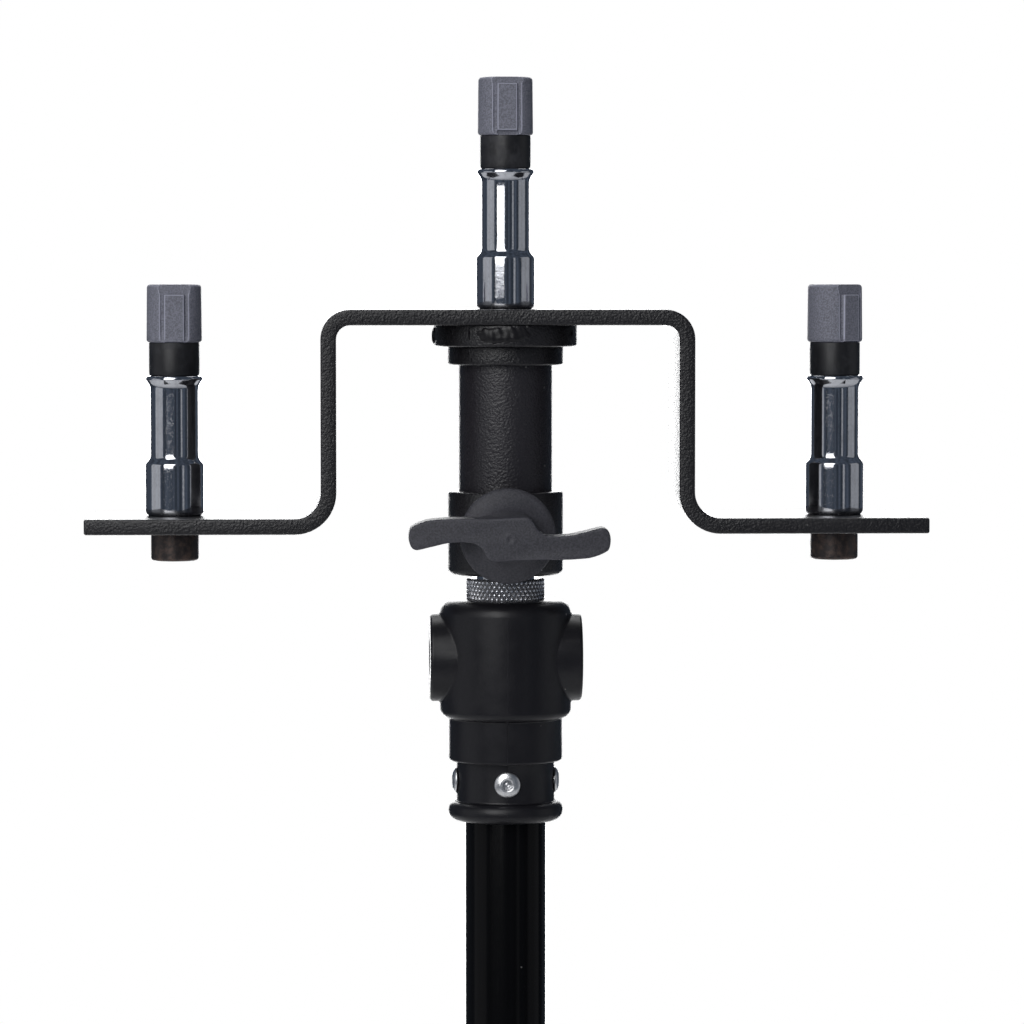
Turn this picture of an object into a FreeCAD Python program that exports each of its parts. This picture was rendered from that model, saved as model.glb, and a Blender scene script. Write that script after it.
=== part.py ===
import FreeCAD, Part
import math
import os

from FreeCAD import Placement, Rotation, Vector

# A three-section C-stand with folding legs, which carries a hat-shaped bracket with three baby pins.
# Millimetres and degrees. The origin is on the column's axis at the floor, and the clamp knobs face -Y.

# ---- clearances ----
FIT = 0.03                # pieces that are pressed or riveted together
RUN = 0.10                # pieces that turn or slide on each other
GAP = 0.05                # faces that meet end to end
TOUCH = 0.001             # two shapes this close count as touching

# ---- column tubes and how far each stands out of the one below ----
COLUMN_R, COLUMN_WALL = 17.5, 1.8
MID_R, MID_WALL = 14.0, 1.6
TOP_R, TOP_WALL = 11.0, 1.5
COLUMN_BOTTOM, COLUMN_LENGTH = 98.0, 740.0
MID_LENGTH, TOP_LENGTH = 770.0, 800.0
REST_GAP = 1.0            # between the two riser collars when the middle riser is down
TOP_RISER_OUT = 100.0     # length of the top riser that shows at rest
TUBE_EASE = 0.3
PLUG_FOOT, PLUG_RISE, PLUG_WALL, PLUG_EDGE_R = 5.0, 12.0, 2.0, 1.6
GUIDE_FOOT, GUIDE_RISE, GUIDE_BORE_R, GUIDE_EDGE_R = 6.0, 14.0, 5.0, 0.8

# ---- legs ----
LEG_R, LEG_WALL = 12.5, 1.8
LEG_REACH = 440.0         # from the column's axis to the end of a leg tube
LEG_DROP_START = 84.0     # where a leg turns down, from the column's axis
LEG_KNEE_Z = 38.0         # height of a leg where it turns outwards again
LEG_DROP_ANGLE = 52.0     # slope of the steep run, below the horizontal
LEG_BEND_R = 38.0
LEG_AZIMUTH = {"short": -90.0, "middle": 30.0, "tall": 150.0}
FOOT_R, FOOT_WALL, FOOT_GRIP = 15.0, 2.4, 34.0
FOOT_EDGE_R, FOOT_TAPER, FOOT_LIP, FOOT_LIP_R = 5.0, 1.0, 3.0, 0.6
FOOT_WEAR = 0.8           # depth worn off where a foot stands
HUB_BOTTOM, HUB_R, HUB_HEIGHT, HUB_EDGE_R = 104.0, 26.0, 36.0, 2.0
WASHER, WASHER_INSET, WASHER_PLAY = 1.0, 3.0, 0.2
SOCKET_R, SOCKET_ROOT, SOCKET_END, SOCKET_FLOOR = 16.0, 16.0, 62.0, 30.0
LEG_RIVET_INSET = 14.0    # from the mouth of a leg socket
HUB_RIVET_RISE = 6.0      # from the bottom of the lowest hub
HUB_RIVET_DEPTH = 12.0

# ---- ring that locks the legs ----
LOCK_RING_HEIGHT, LOCK_RING_R, LOCK_TOP_R, LOCK_TAPER = 28.0, 25.0, 21.0, 6.0
LOCK_EDGES = (1.2, 2.0, 1.6)
LOCK_BOSS_ROOT, LOCK_BOSS_H = 23.0, 5.5

# ---- riser collars, from the bead up, each radius over that of its tube ----
BEAD, RIVET_STEP, SHOULDER_STEP, BARREL = 5.3, 11.0, 11.7, 27.0
BEAD_OVER, STEP_OVER, SHOULDER_OVER, BARREL_OVER = 4.7, 2.35, 4.5, 6.9
COLLAR_EDGES = {"mouth": 0.4, "bead": 2.6, "bead_top": 2.4, "step": 0.6, "step_top": 0.3,
                "shoulder": 0.8, "shoulder_top": 0.4, "barrel": 2.4, "top": 4.0}
COLLAR_HEIGHT = BEAD + RIVET_STEP + SHOULDER_STEP + BARREL
TUBE_SEAT = BEAD + RIVET_STEP + SHOULDER_STEP
SEAT_RELIEF = 0.8
BUSH_WALL, BUSH_LIP, BUSH_COVER = 2.0, 2.0, 0.5
KNOB_BOSS_R, KNOB_BOSS_H, KNOB_BOSS_EDGE_R, KNOB_BOSS_SUNK = 8.6, 4.5, 1.2, 1.0

# ---- top casting ----
CASTING_BEAD_R, CASTING_STEP_R, CASTING_SHOULDER_R = 15.65, 13.35, 15.5
CASTING_R, CASTING_BARREL, CASTING_BARREL_EDGE_R, CASTING_TOP_EDGE_R = 17.9, 32.5, 2.6, 4.2
BOSS_R, BOSS_ROOT, BOSS_REACH, BOSS_DROP, BOSS_EDGE_R, BOSS_SEAM_R = 12.0, 12.5, 20.7, 16.0, 0.9, 0.7
SOCKET_THREAD_R, SOCKET_DEPTH = 4.0, 9.0
COUNTERSINK, COUNTERSINK_DEPTH = 1.0, 0.8
CASTING_SEAT = 22.0       # depth of the spigot's seat below the casting's top

# ---- stand spigot ----
KNURL_R, KNURL_SHOWN, HEAD_GAP = 10.65, 5.65, 1.15
SPIGOT_HEIGHT = 39.0
SPIGOT_EDGES = {"foot": 0.6, "knurl": 0.5, "waist": 0.8, "neck": 0.3, "tip": 1.2}
WAIST_BELOW, WAIST_FOOT, WAIST_ABOVE, WAIST_HEAD = 6.5, 5.0, 7.5, 9.2

# ---- receiver sleeve under the bracket ----
BABY_R = 7.94             # 5/8 inch pin
SLEEVE_R, RING_R, DISK_R = 12.7, 15.7, 19.45
DISK_H, TOP_RING_H, SLEEVE_SHOWN, CLAMP_RING_H = 5.9, 5.0, 34.4, 22.7
SLEEVE_CHAMFER, WELD_EDGE_R, RING_EDGE_R, CLAMP_RING_EDGE_R = 0.8, 0.3, 0.6, 1.6

# ---- bracket ----
PLATE_T, PLATE_W, PLATE_EDGE_R = 4.2, 40.0, 0.55
HAT_TOP_W, HAT_TOTAL_W, HAT_H = 100.6, 227.4, 60.3
UPPER_BEND, LOWER_BEND = 3.8, 7.0      # inside radii
FLANGE_EDGE_R = 0.8
PIN_X = 90.0
PIN_HOLE_PLAY = 0.2

# ---- pins and their screws ----
PIN_HEIGHT, PIN_BASE, PIN_NECK_R, LIP_DEPTH = 38.0, 14.1, 6.5, 2.8
PIN_CHAMFER, PIN_CHAMFER_R = 0.7, 0.3
PIN_SHOULDER, PIN_SHOULDER_OVER, PIN_FILLET_AT = 1.3, 0.35, 1.9
PIN_EDGES = {"base": 0.5, "neck": 0.4, "throat": 1.2, "lip": 0.25, "top": 0.2}
LIP_BEVEL, LIP_INSET, LIP_EASE = 0.85, 0.5, 0.02
SCREW_R, SCREW_HEAD_R, SCREW_HEAD_H, HEX_AF, HEX_DEPTH = 4.0, 6.5, 8.0, 6.0, 4.0
SCREW_EDGES = {"head": 0.9, "seat": 0.2, "end": 0.6}

# ---- rubber bushes and caps ----
RUBBER_R, RUBBER_H, RUBBER_PLAY, RUBBER_FOOT_R, RUBBER_TOP_R = 6.85, 9.1, 0.3, 0.6, 0.4
CAP_TOP_R, CAP_R, CAP_H, CAP_RIM_R, CAP_EDGE_R = 7.35, 7.5, 15.7, 0.8, 0.9
FLAT_HALF, FLAT_FLOOR, FLAT_FLARE = 2.4, 6.6, 0.6
INSERT_R, INSERT_H, INSERT_ROOM, INSERT_EDGE_R = 5.2, 10.5, 0.2, 0.3
SCREW_SHORT = 1.0         # from the end of a pin's screw to the bottom of its cap's pocket

# ---- clamp screws and wing knobs ----
TIP_R, TIP_EDGE_R, TIP_LENGTH, TIP_TAPER, THREAD_END_R = 3.0, 0.4, 2.0, 1.0, 0.5
THREAD_PLAY = 0.06
KNOB_GAP, KNOB_GRIP, KNOB_BORE = 1.4, 11.0, 11.2
KNOB_DISC_R, KNOB_DISC_H, KNOB_THROAT_R, KNOB_THROAT_H = 13.0, 2.0, 9.5, 4.6
KNOB_HUB_R, KNOB_HUB_H, KNOB_TIP_R, KNOB_DEPTH = 7.6, 13.5, 6.2, 17.5
KNOB_EDGES = {"back": 0.6, "disc": 0.9, "throat": 4.0, "hub": 3.0, "tip": 1.6}
WING_SPAN, WING_DEPTH, WING_INSET = 27.1, 12.0, 1.0
# One wing from the hub outwards and back, as across, up and corner radius.
WING_HALF = ((7.2, -5.6, 3.0), (14.0, -5.9, 6.0), (WING_SPAN, -4.6, 3.4), (WING_SPAN, 3.6, 3.0),
             (21.5, 3.2, 4.0), (16.0, 1.0, 8.0), (8.2, 1.4, 4.0), (5.6, 6.6, 4.0))

# ---- blind rivets ----
RIVET_R, RIVET_HEAD_R, RIVET_HEAD_H = 2.0, 3.55, 1.25
RIVET_SHANK, RIVET_HOLE_DEPTH = 4.4, 6.0
RIVET_BORE_R, RIVET_BORE_DEPTH, RIVET_CUP = 1.17, 1.6, 0.55
RIVET_BRIM_H, RIVET_CROWN_R, RIVET_CROWN_H, RIVET_RIM_R = 0.45, 2.6, 1.12, 1.75
RIVET_EDGES = {"seat": 0.1, "brim": 0.3, "crown": 1.2, "rim": 0.15}

# ---- heights that follow from the sizes above ----
COLUMN_TOP = COLUMN_BOTTOM + COLUMN_LENGTH
BASE_COLLAR_Z = COLUMN_TOP - TUBE_SEAT
MID_COLLAR_Z = BASE_COLLAR_Z + COLLAR_HEIGHT + REST_GAP
CASTING_Z = MID_COLLAR_Z + COLLAR_HEIGHT + TOP_RISER_OUT
CASTING_TOP = CASTING_Z + TUBE_SEAT + CASTING_BARREL
RING_BOTTOM = CASTING_TOP + KNURL_SHOWN + HEAD_GAP
RING_TOP = RING_BOTTOM + CLAMP_RING_H
PLATE_BOTTOM = RING_TOP + SLEEVE_SHOWN + TOP_RING_H + DISK_H
PLATE_TOP = PLATE_BOTTOM + PLATE_T
FLANGE_TOP = PLATE_TOP - HAT_H + PLATE_T
CLAMP_Z = (RING_BOTTOM + RING_TOP) / 2
LOCK_RING_Z = HUB_BOTTOM + len(LEG_AZIMUTH) * (HUB_HEIGHT + WASHER)
RIVET_RISE = BEAD + RIVET_STEP / 2

# Each pin: distance from the middle, the face it stands on, the turn of its cap, and where the cap's
# flats start and end, below the cap's top and above its rim.
PINS = {"left": (-PIN_X, FLANGE_TOP, 2.0, 3.0, -1.0),
        "center": (0.0, PLATE_TOP, 2.5, 2.0, 1.4),
        "right": (PIN_X, FLANGE_TOP, 36.0, 3.0, -1.0)}

UP, ORIGIN = Vector(0, 0, 1), Vector(0, 0, 0)
FRONT, RIGHT, BACK, LEFT = -90.0, 0.0, 90.0, 180.0
PAST = 1.0                # how far a cutter runs past the face it opens


# ---- shaping ----
def rounded_edges(points, closed=True):
    """Edges in the XZ plane through (x, z) or (x, z, radius) corners, each rounded by its radius."""
    corners = []
    for i, point in enumerate(points):
        here = Vector(point[0], 0, point[1])
        radius = point[2] if len(point) > 2 else 0
        if not radius:
            corners.append((here, None, here))
            continue
        before, after = points[i - 1], points[(i + 1) % len(points)]
        back = (Vector(before[0], 0, before[1]) - here).normalize()
        on = (Vector(after[0], 0, after[1]) - here).normalize()
        half = back.getAngle(on) / 2
        reach = radius / math.tan(half)
        inwards = (back + on).normalize() * (radius / math.sin(half) - radius)
        corners.append((here + back * reach, here + inwards, here + on * reach))
    edges = []
    for i, (start, middle, end) in enumerate(corners):
        if middle:
            edges.append(Part.Arc(start, middle, end).toShape())
        if i == len(corners) - 1 and not closed:
            break
        following = corners[(i + 1) % len(corners)][0]
        if (following - end).Length > TOUCH:
            edges.append(Part.LineSegment(end, following).toShape())
    return edges


def turned(points):
    """A solid turned about Z from (radius, height) or (radius, height, corner radius) points."""
    face = Part.Face(Part.Wire(rounded_edges(points)))
    return face.revolve(ORIGIN, UP, 360)


def placed(shape, at=ORIGIN, turn=0.0, tip=0.0):
    """A copy tipped about X, then turned about Z, then moved."""
    copy = shape.copy()
    copy.Placement = Placement(Vector(at), Rotation(UP, turn) * Rotation(Vector(1, 0, 0), tip))
    return copy


def facing(shape, height, radius, azimuth=FRONT):
    """A shape whose own Z points out of the column at an azimuth, at a height and a distance."""
    a = math.radians(azimuth)
    return placed(shape, Vector(radius * math.cos(a), radius * math.sin(a), height), azimuth + 90, 90)


def cylinder(radius, length, at=ORIGIN, direction=UP):
    return Part.makeCylinder(radius, length, Vector(at), Vector(direction))


def tube(radius, wall, bottom, length):
    """A plain tube on the column's axis with eased ends."""
    inner, top = radius - wall, bottom + length
    return turned([(inner, bottom), (radius - TUBE_EASE, bottom), (radius, bottom + TUBE_EASE),
                   (radius, top - TUBE_EASE), (radius - TUBE_EASE, top), (inner, top)])


def meeting_edges(shape, first, second):
    """The edges of a fused shape where the surfaces of the two shapes it was made from meet."""
    edges = []
    for edge in shape.Edges:
        middle = Part.Vertex(edge.valueAt((edge.FirstParameter + edge.LastParameter) / 2))
        if all(solid.Shells[0].distToShape(middle)[0] < TOUCH for solid in (first, second)):
            edges.append(edge)
    return edges


# ---- rivets, clamp screws and wing knobs ----
def rivet():
    """A blind rivet on its own Z, with the underside of its head at z 0 and the mandrel hole open."""
    shank, edge = RIVET_R - FIT, RIVET_EDGES
    return turned([(0, -RIVET_SHANK), (shank, -RIVET_SHANK), (shank, 0), (RIVET_HEAD_R, 0, edge["seat"]),
                   (RIVET_HEAD_R, RIVET_BRIM_H, edge["brim"]), (RIVET_CROWN_R, RIVET_CROWN_H, edge["crown"]),
                   (RIVET_RIM_R, RIVET_HEAD_H, edge["rim"]), (RIVET_BORE_R, RIVET_CUP),
                   (RIVET_BORE_R, -RIVET_BORE_DEPTH), (0, -RIVET_BORE_DEPTH)])


def rivet_ring(radius, height, azimuths=(FRONT, RIGHT, BACK, LEFT)):
    return Part.makeCompound([facing(rivet(), height, radius, a) for a in azimuths])


def rivet_holes(radius, height, azimuths=(FRONT, RIGHT, BACK, LEFT), depth=RIVET_HOLE_DEPTH):
    hole = cylinder(RIVET_R, depth + PAST, Vector(0, 0, -depth))
    return [facing(hole, height, radius, a) for a in azimuths]


def clamp_screw(length):
    """A clamp screw on its own Z, with its tip at z 0 and its end inside the knob."""
    return turned([(0, 0), (TIP_R, 0, TIP_EDGE_R), (TIP_R, TIP_LENGTH), (SCREW_R, TIP_LENGTH + TIP_TAPER),
                   (SCREW_R, length, THREAD_END_R), (0, length)])


def wing_knob():
    """A moulded wing knob on its own Z: a dished disc, a hub and two swept wings."""
    edge = KNOB_EDGES
    body = turned([(0, 0), (KNOB_DISC_R, 0, edge["back"]), (KNOB_DISC_R, KNOB_DISC_H, edge["disc"]),
                   (KNOB_THROAT_R, KNOB_THROAT_H, edge["throat"]), (KNOB_HUB_R, KNOB_HUB_H, edge["hub"]),
                   (KNOB_TIP_R, KNOB_DEPTH, edge["tip"]), (0, KNOB_DEPTH)])
    outline = list(WING_HALF) + [(-across, -up, radius) for across, up, radius in WING_HALF]
    wings = Part.Face(Part.Wire(rounded_edges(outline))).extrude(Vector(0, -WING_DEPTH, 0))
    wings.rotate(ORIGIN, Vector(1, 0, 0), -90)
    wings.translate(Vector(0, 0, KNOB_DEPTH - WING_INSET - WING_DEPTH - wings.BoundBox.ZMin))
    knob = body.fuse(wings).removeSplitter()
    return knob.cut(cylinder(SCREW_R + FIT, KNOB_BORE + PAST, Vector(0, 0, -PAST)))


def clamp(name, face_r, target_r, height):
    """A clamp screw that bears on a radius inside a ring, and the wing knob on its outer end."""
    tip_at = target_r + GAP
    knob_at = face_r + KNOB_GAP
    save(name + "_screw", facing(clamp_screw(knob_at - tip_at + KNOB_GRIP), height, tip_at))
    save(name + "_knob", facing(wing_knob(), height, knob_at))


def screw_hole(height, outer_r):
    """The tapped hole that a clamp screw runs in, at its crest radius."""
    return facing(cylinder(SCREW_R + THREAD_PLAY, outer_r), height, SCREW_R)


def knob_boss(height, root_r, length):
    """The round boss that a clamp screw comes out of."""
    boss = turned([(0, 0), (KNOB_BOSS_R, 0), (KNOB_BOSS_R, length, KNOB_BOSS_EDGE_R), (0, length)])
    return facing(boss, height, root_r)


pieces = {}


def save(name, shape):
    pieces[name] = shape


# ---- base column and its collar ----
def riser_collar(tube_r, riser_r, bottom):
    """A cast collar riveted round the top of a tube, with a boss for the clamp screw of the riser above."""
    barrel_r, shoulder_r = tube_r + BARREL_OVER, tube_r + SHOULDER_OVER
    step_r, bead_r = tube_r + STEP_OVER, tube_r + BEAD_OVER
    bead_z = bottom + BEAD
    step_z = bead_z + RIVET_STEP
    seat_z = bottom + TUBE_SEAT
    top = bottom + COLLAR_HEIGHT
    bush_r = riser_r + BUSH_WALL + FIT
    mouth_r = riser_r + BUSH_COVER
    edge = COLLAR_EDGES
    body = turned([(tube_r + FIT, bottom, edge["mouth"]), (bead_r, bottom, edge["bead"]),
                   (bead_r, bead_z, edge["bead_top"]), (step_r, bead_z, edge["step"]),
                   (step_r, step_z, edge["step_top"]), (shoulder_r, step_z, edge["shoulder"]),
                   (shoulder_r, seat_z, edge["shoulder_top"]), (barrel_r, seat_z, edge["barrel"]),
                   (barrel_r, top, edge["top"]), (mouth_r, top), (mouth_r, top - BUSH_LIP),
                   (bush_r, top - BUSH_LIP), (bush_r, seat_z + SEAT_RELIEF),
                   (tube_r + FIT, seat_z + SEAT_RELIEF)])
    knob_z = seat_z + BARREL / 2
    boss_root = barrel_r - KNOB_BOSS_SUNK
    body = body.fuse(knob_boss(knob_z, boss_root, KNOB_BOSS_H)).removeSplitter()
    holes = [screw_hole(knob_z, barrel_r + KNOB_BOSS_H)] + rivet_holes(step_r, bottom + RIVET_RISE)
    return body.cut(Part.makeCompound(holes)), knob_z, boss_root + KNOB_BOSS_H


def riser_bush(riser_r, bottom, knob_z):
    """The nylon bush that guides a riser in its collar, pierced for the clamp screw."""
    low = bottom + TUBE_SEAT + SEAT_RELIEF + RUN
    high = bottom + COLLAR_HEIGHT - BUSH_LIP - RUN
    outer = riser_r + BUSH_WALL
    bush = turned([(riser_r + RUN, low), (outer, low), (outer, high), (riser_r + RUN, high)])
    return bush.cut(screw_hole(knob_z, outer))


def end_guide(outer_r, outer_wall, inner_r, inner_wall, bottom):
    """A plastic plug in the bottom of a riser, with a collar that runs in the tube around it."""
    run_r = outer_r - outer_wall - RUN * 2
    plug_r = inner_r - inner_wall - FIT
    return turned([(GUIDE_BORE_R, bottom - GUIDE_FOOT), (run_r, bottom - GUIDE_FOOT, GUIDE_EDGE_R),
                   (run_r, bottom - GAP), (plug_r, bottom - GAP), (plug_r, bottom + GUIDE_RISE),
                   (GUIDE_BORE_R, bottom + GUIDE_RISE)])


def bottom_plug():
    """A thin-walled plug pushed into the bottom of the column."""
    inner = COLUMN_R - COLUMN_WALL - FIT
    low, high = COLUMN_BOTTOM - PLUG_FOOT, COLUMN_BOTTOM + PLUG_RISE
    floor = COLUMN_BOTTOM - PLUG_WALL
    return turned([(0, low), (COLUMN_R, low, PLUG_EDGE_R), (COLUMN_R, COLUMN_BOTTOM - GAP),
                   (inner, COLUMN_BOTTOM - GAP), (inner, high), (inner - PLUG_WALL, high),
                   (inner - PLUG_WALL, floor), (0, floor)])


def base_column():
    step_r = COLUMN_R + STEP_OVER
    rivet_z = BASE_COLLAR_Z + RIVET_RISE
    column = tube(COLUMN_R, COLUMN_WALL, COLUMN_BOTTOM, COLUMN_LENGTH)
    low_holes = rivet_holes(HUB_R, HUB_BOTTOM + HUB_RIVET_RISE, (RIGHT, LEFT), HUB_RIVET_DEPTH)
    save("base_column", column.cut(Part.makeCompound(rivet_holes(step_r, rivet_z) + low_holes)))
    save("column_bottom_plug", bottom_plug())
    collar, knob_z, face_r = riser_collar(COLUMN_R, MID_R, BASE_COLLAR_Z)
    save("base_collar", collar)
    save("base_collar_rivets", rivet_ring(step_r, rivet_z))
    save("base_collar_bush", riser_bush(MID_R, BASE_COLLAR_Z, knob_z))
    clamp("middle_riser_clamp", face_r, MID_R, knob_z)


def middle_riser():
    step_r = MID_R + STEP_OVER
    rivet_z = MID_COLLAR_Z + RIVET_RISE
    bottom = MID_COLLAR_Z + TUBE_SEAT - MID_LENGTH
    riser = tube(MID_R, MID_WALL, bottom, MID_LENGTH)
    save("middle_riser_tube", riser.cut(Part.makeCompound(rivet_holes(step_r, rivet_z))))
    save("middle_riser_guide", end_guide(COLUMN_R, COLUMN_WALL, MID_R, MID_WALL, bottom))
    collar, knob_z, face_r = riser_collar(MID_R, TOP_R, MID_COLLAR_Z)
    save("middle_collar", collar)
    save("middle_collar_rivets", rivet_ring(step_r, rivet_z))
    save("middle_collar_bush", riser_bush(TOP_R, MID_COLLAR_Z, knob_z))
    clamp("top_riser_clamp", face_r, TOP_R, knob_z)


# ---- top riser, its casting and the stand spigot ----
def side_boss(side, height):
    """A round boss on one side of the casting, with an eased rim."""
    length = BOSS_REACH - BOSS_ROOT
    boss = turned([(0, 0), (BOSS_R, 0), (BOSS_R, length, BOSS_EDGE_R), (0, length)])
    return facing(boss, height, BOSS_ROOT, side)


def side_socket(side, height):
    """The tapped hole in a side boss, with its countersink."""
    depth = SOCKET_DEPTH
    wide = SOCKET_THREAD_R + COUNTERSINK * PAST / COUNTERSINK_DEPTH
    socket = turned([(0, 0), (SOCKET_THREAD_R, 0), (SOCKET_THREAD_R, depth - COUNTERSINK_DEPTH),
                     (wide, depth - COUNTERSINK_DEPTH + PAST), (0, depth - COUNTERSINK_DEPTH + PAST)])
    return facing(socket, height, BOSS_REACH - depth, side)


def top_casting():
    """The casting on the top riser: a bead, a riveted step, a shoulder and a barrel with two bosses."""
    bead_z = CASTING_Z + BEAD
    step_z = bead_z + RIVET_STEP
    barrel_z = CASTING_Z + TUBE_SEAT
    seat = CASTING_TOP - CASTING_SEAT
    boss_z = CASTING_TOP - BOSS_DROP
    mouth, edge = KNURL_R + FIT, COLLAR_EDGES
    body = turned([(0, CASTING_Z), (CASTING_BEAD_R, CASTING_Z, edge["bead"]),
                   (CASTING_BEAD_R, bead_z, edge["bead_top"]), (CASTING_STEP_R, bead_z, edge["step"]),
                   (CASTING_STEP_R, step_z, edge["step_top"]), (CASTING_SHOULDER_R, step_z, edge["shoulder"]),
                   (CASTING_SHOULDER_R, barrel_z, edge["shoulder_top"]),
                   (CASTING_R, barrel_z, CASTING_BARREL_EDGE_R), (CASTING_R, CASTING_TOP, CASTING_TOP_EDGE_R),
                   (0, CASTING_TOP)])
    for side in (LEFT, RIGHT):
        boss = side_boss(side, boss_z)
        joined = body.fuse(boss).removeSplitter()
        body = joined.makeFillet(BOSS_SEAM_R, meeting_edges(joined, body, boss))
    hollow = turned([(0, CASTING_Z - PAST), (TOP_R + FIT, CASTING_Z - PAST), (TOP_R + FIT, seat),
                     (mouth, seat), (mouth, CASTING_TOP + PAST), (0, CASTING_TOP + PAST)])
    holes = [hollow, side_socket(LEFT, boss_z), side_socket(RIGHT, boss_z)]
    return body.cut(Part.makeCompound(holes + rivet_holes(CASTING_STEP_R, CASTING_Z + RIVET_RISE)))


def stand_spigot():
    """The steel spigot in the casting: a knurled foot and a 5/8 inch pin with a waist for the clamp screw."""
    foot = CASTING_TOP - CASTING_SEAT + RUN
    knurl_top = CASTING_TOP + KNURL_SHOWN
    tip = knurl_top + SPIGOT_HEIGHT
    edge = SPIGOT_EDGES
    return turned([
        (0, foot), (KNURL_R, foot, edge["foot"]), (KNURL_R, knurl_top, edge["knurl"]), (BABY_R, knurl_top),
        (BABY_R, CLAMP_Z - WAIST_BELOW), (PIN_NECK_R, CLAMP_Z - WAIST_FOOT, edge["waist"]),
        (PIN_NECK_R, CLAMP_Z + WAIST_ABOVE, edge["waist"]), (BABY_R, CLAMP_Z + WAIST_HEAD, edge["neck"]),
        (BABY_R, tip, edge["tip"]), (0, tip)])


def top_riser():
    rivet_z = CASTING_Z + RIVET_RISE
    top = CASTING_TOP - CASTING_SEAT - RUN
    bottom = top - TOP_LENGTH
    riser = tube(TOP_R, TOP_WALL, bottom, TOP_LENGTH)
    save("top_riser_tube", riser.cut(Part.makeCompound(rivet_holes(CASTING_STEP_R, rivet_z))))
    save("top_riser_guide", end_guide(MID_R, MID_WALL, TOP_R, TOP_WALL, bottom))
    save("top_casting", top_casting())
    save("top_casting_rivets", rivet_ring(CASTING_STEP_R, rivet_z))
    save("stand_spigot", stand_spigot())


# ---- head: receiver sleeve, bracket and pins ----
def bracket():
    """A flat bar bent into a hat, with a hole under each pin."""
    hat, flange_end = HAT_TOP_W / 2, HAT_TOTAL_W / 2
    leg_in = hat - PLATE_T
    low = PLATE_TOP - HAT_H
    right = [(hat, PLATE_TOP, UPPER_BEND + PLATE_T), (hat, FLANGE_TOP, LOWER_BEND),
             (flange_end, FLANGE_TOP, FLANGE_EDGE_R), (flange_end, low, FLANGE_EDGE_R),
             (leg_in, low, LOWER_BEND + PLATE_T), (leg_in, PLATE_BOTTOM, UPPER_BEND)]
    left = [(-x, z, r) for x, z, r in reversed(right)]
    face = Part.Face(Part.Wire(rounded_edges(right + left)))
    bar = face.extrude(Vector(0, PLATE_W, 0))
    bar.translate(Vector(0, -PLATE_W / 2, 0))
    edges = [e for e in bar.Edges if e.BoundBox.YLength < TOUCH]
    bar = bar.makeFillet(PLATE_EDGE_R, edges)
    hole_r = SCREW_R + PIN_HOLE_PLAY
    holes = [cylinder(hole_r, HAT_H + 2 * PAST, Vector(x, 0, low - PAST)) for x, *_ in PINS.values()]
    return bar.cut(Part.makeCompound(holes))


def baby_pin(base_z):
    """A 5/8 inch pin with a waist and a flared lip, bored for its screw."""
    top = base_z + PIN_HEIGHT
    bore = SCREW_R + GAP
    edge = PIN_EDGES
    neck_z = base_z + PIN_BASE
    shoulder_r = PIN_NECK_R + PIN_SHOULDER_OVER
    return turned([
        (bore, base_z), (BABY_R - PIN_CHAMFER, base_z), (BABY_R, base_z + PIN_CHAMFER, PIN_CHAMFER_R),
        (BABY_R, neck_z, edge["base"]), (shoulder_r, neck_z + PIN_SHOULDER, edge["neck"]),
        (PIN_NECK_R, neck_z + PIN_FILLET_AT, edge["neck"]), (PIN_NECK_R, top - LIP_DEPTH, edge["throat"]),
        (BABY_R - LIP_EASE, top - LIP_BEVEL, edge["lip"]), (BABY_R - LIP_INSET, top, edge["top"]),
        (bore, top)])


def pin_screw(head_top, end_z):
    """A socket head cap screw pointing up, its head under the plate."""
    head_z = head_top - SCREW_HEAD_H
    edge = SCREW_EDGES
    body = turned([(0, head_z), (SCREW_HEAD_R, head_z, edge["head"]), (SCREW_HEAD_R, head_top, edge["seat"]),
                   (SCREW_R, head_top), (SCREW_R, end_z, edge["end"]), (0, end_z)])
    across = HEX_AF / 2 / math.cos(math.radians(30))
    corners = [Rotation(UP, 60 * k).multVec(Vector(across, 0, 0)) for k in range(7)]
    socket = Part.Face(Part.makePolygon(corners)).extrude(Vector(0, 0, HEX_DEPTH + PAST))
    return body.cut(placed(socket, Vector(0, 0, head_z - PAST)))


def rubber_bush(low, high):
    bore = SCREW_R + RUBBER_PLAY
    return turned([(bore, low), (RUBBER_R, low, RUBBER_FOOT_R), (RUBBER_R, high, RUBBER_TOP_R), (bore, high)])


def cap(base_z, turn, flat_drop, flat_rise):
    """A tapered cap with two opposite flats to grip it by, and a pocket for its nut."""
    top = base_z + CAP_H
    body = turned([(0, base_z), (CAP_R, base_z, CAP_RIM_R), (CAP_TOP_R, top, CAP_EDGE_R), (0, top)])
    mouth = CAP_R + PAST
    mouth_half = FLAT_HALF + (mouth - FLAT_FLOOR) * FLAT_FLARE
    outline = [Vector(FLAT_FLOOR, -FLAT_HALF, 0), Vector(mouth, -mouth_half, 0), Vector(mouth, mouth_half, 0),
               Vector(FLAT_FLOOR, FLAT_HALF, 0), Vector(FLAT_FLOOR, -FLAT_HALF, 0)]
    cutter = Part.Face(Part.makePolygon(outline)).extrude(Vector(0, 0, CAP_H - flat_drop - flat_rise))
    flats = [placed(cutter, Vector(0, 0, base_z + flat_rise), turn + side) for side in (FRONT, BACK)]
    pocket = cylinder(INSERT_R + FIT, INSERT_H + PAST + INSERT_ROOM, Vector(0, 0, base_z - PAST))
    return body.cut(Part.makeCompound(flats + [pocket]))


def cap_nut(low):
    """The threaded metal nut moulded into a cap."""
    bore, high = SCREW_R + GAP, low + INSERT_H
    return turned([(bore, low), (INSERT_R, low, INSERT_EDGE_R), (INSERT_R, high), (bore, high)])


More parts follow.
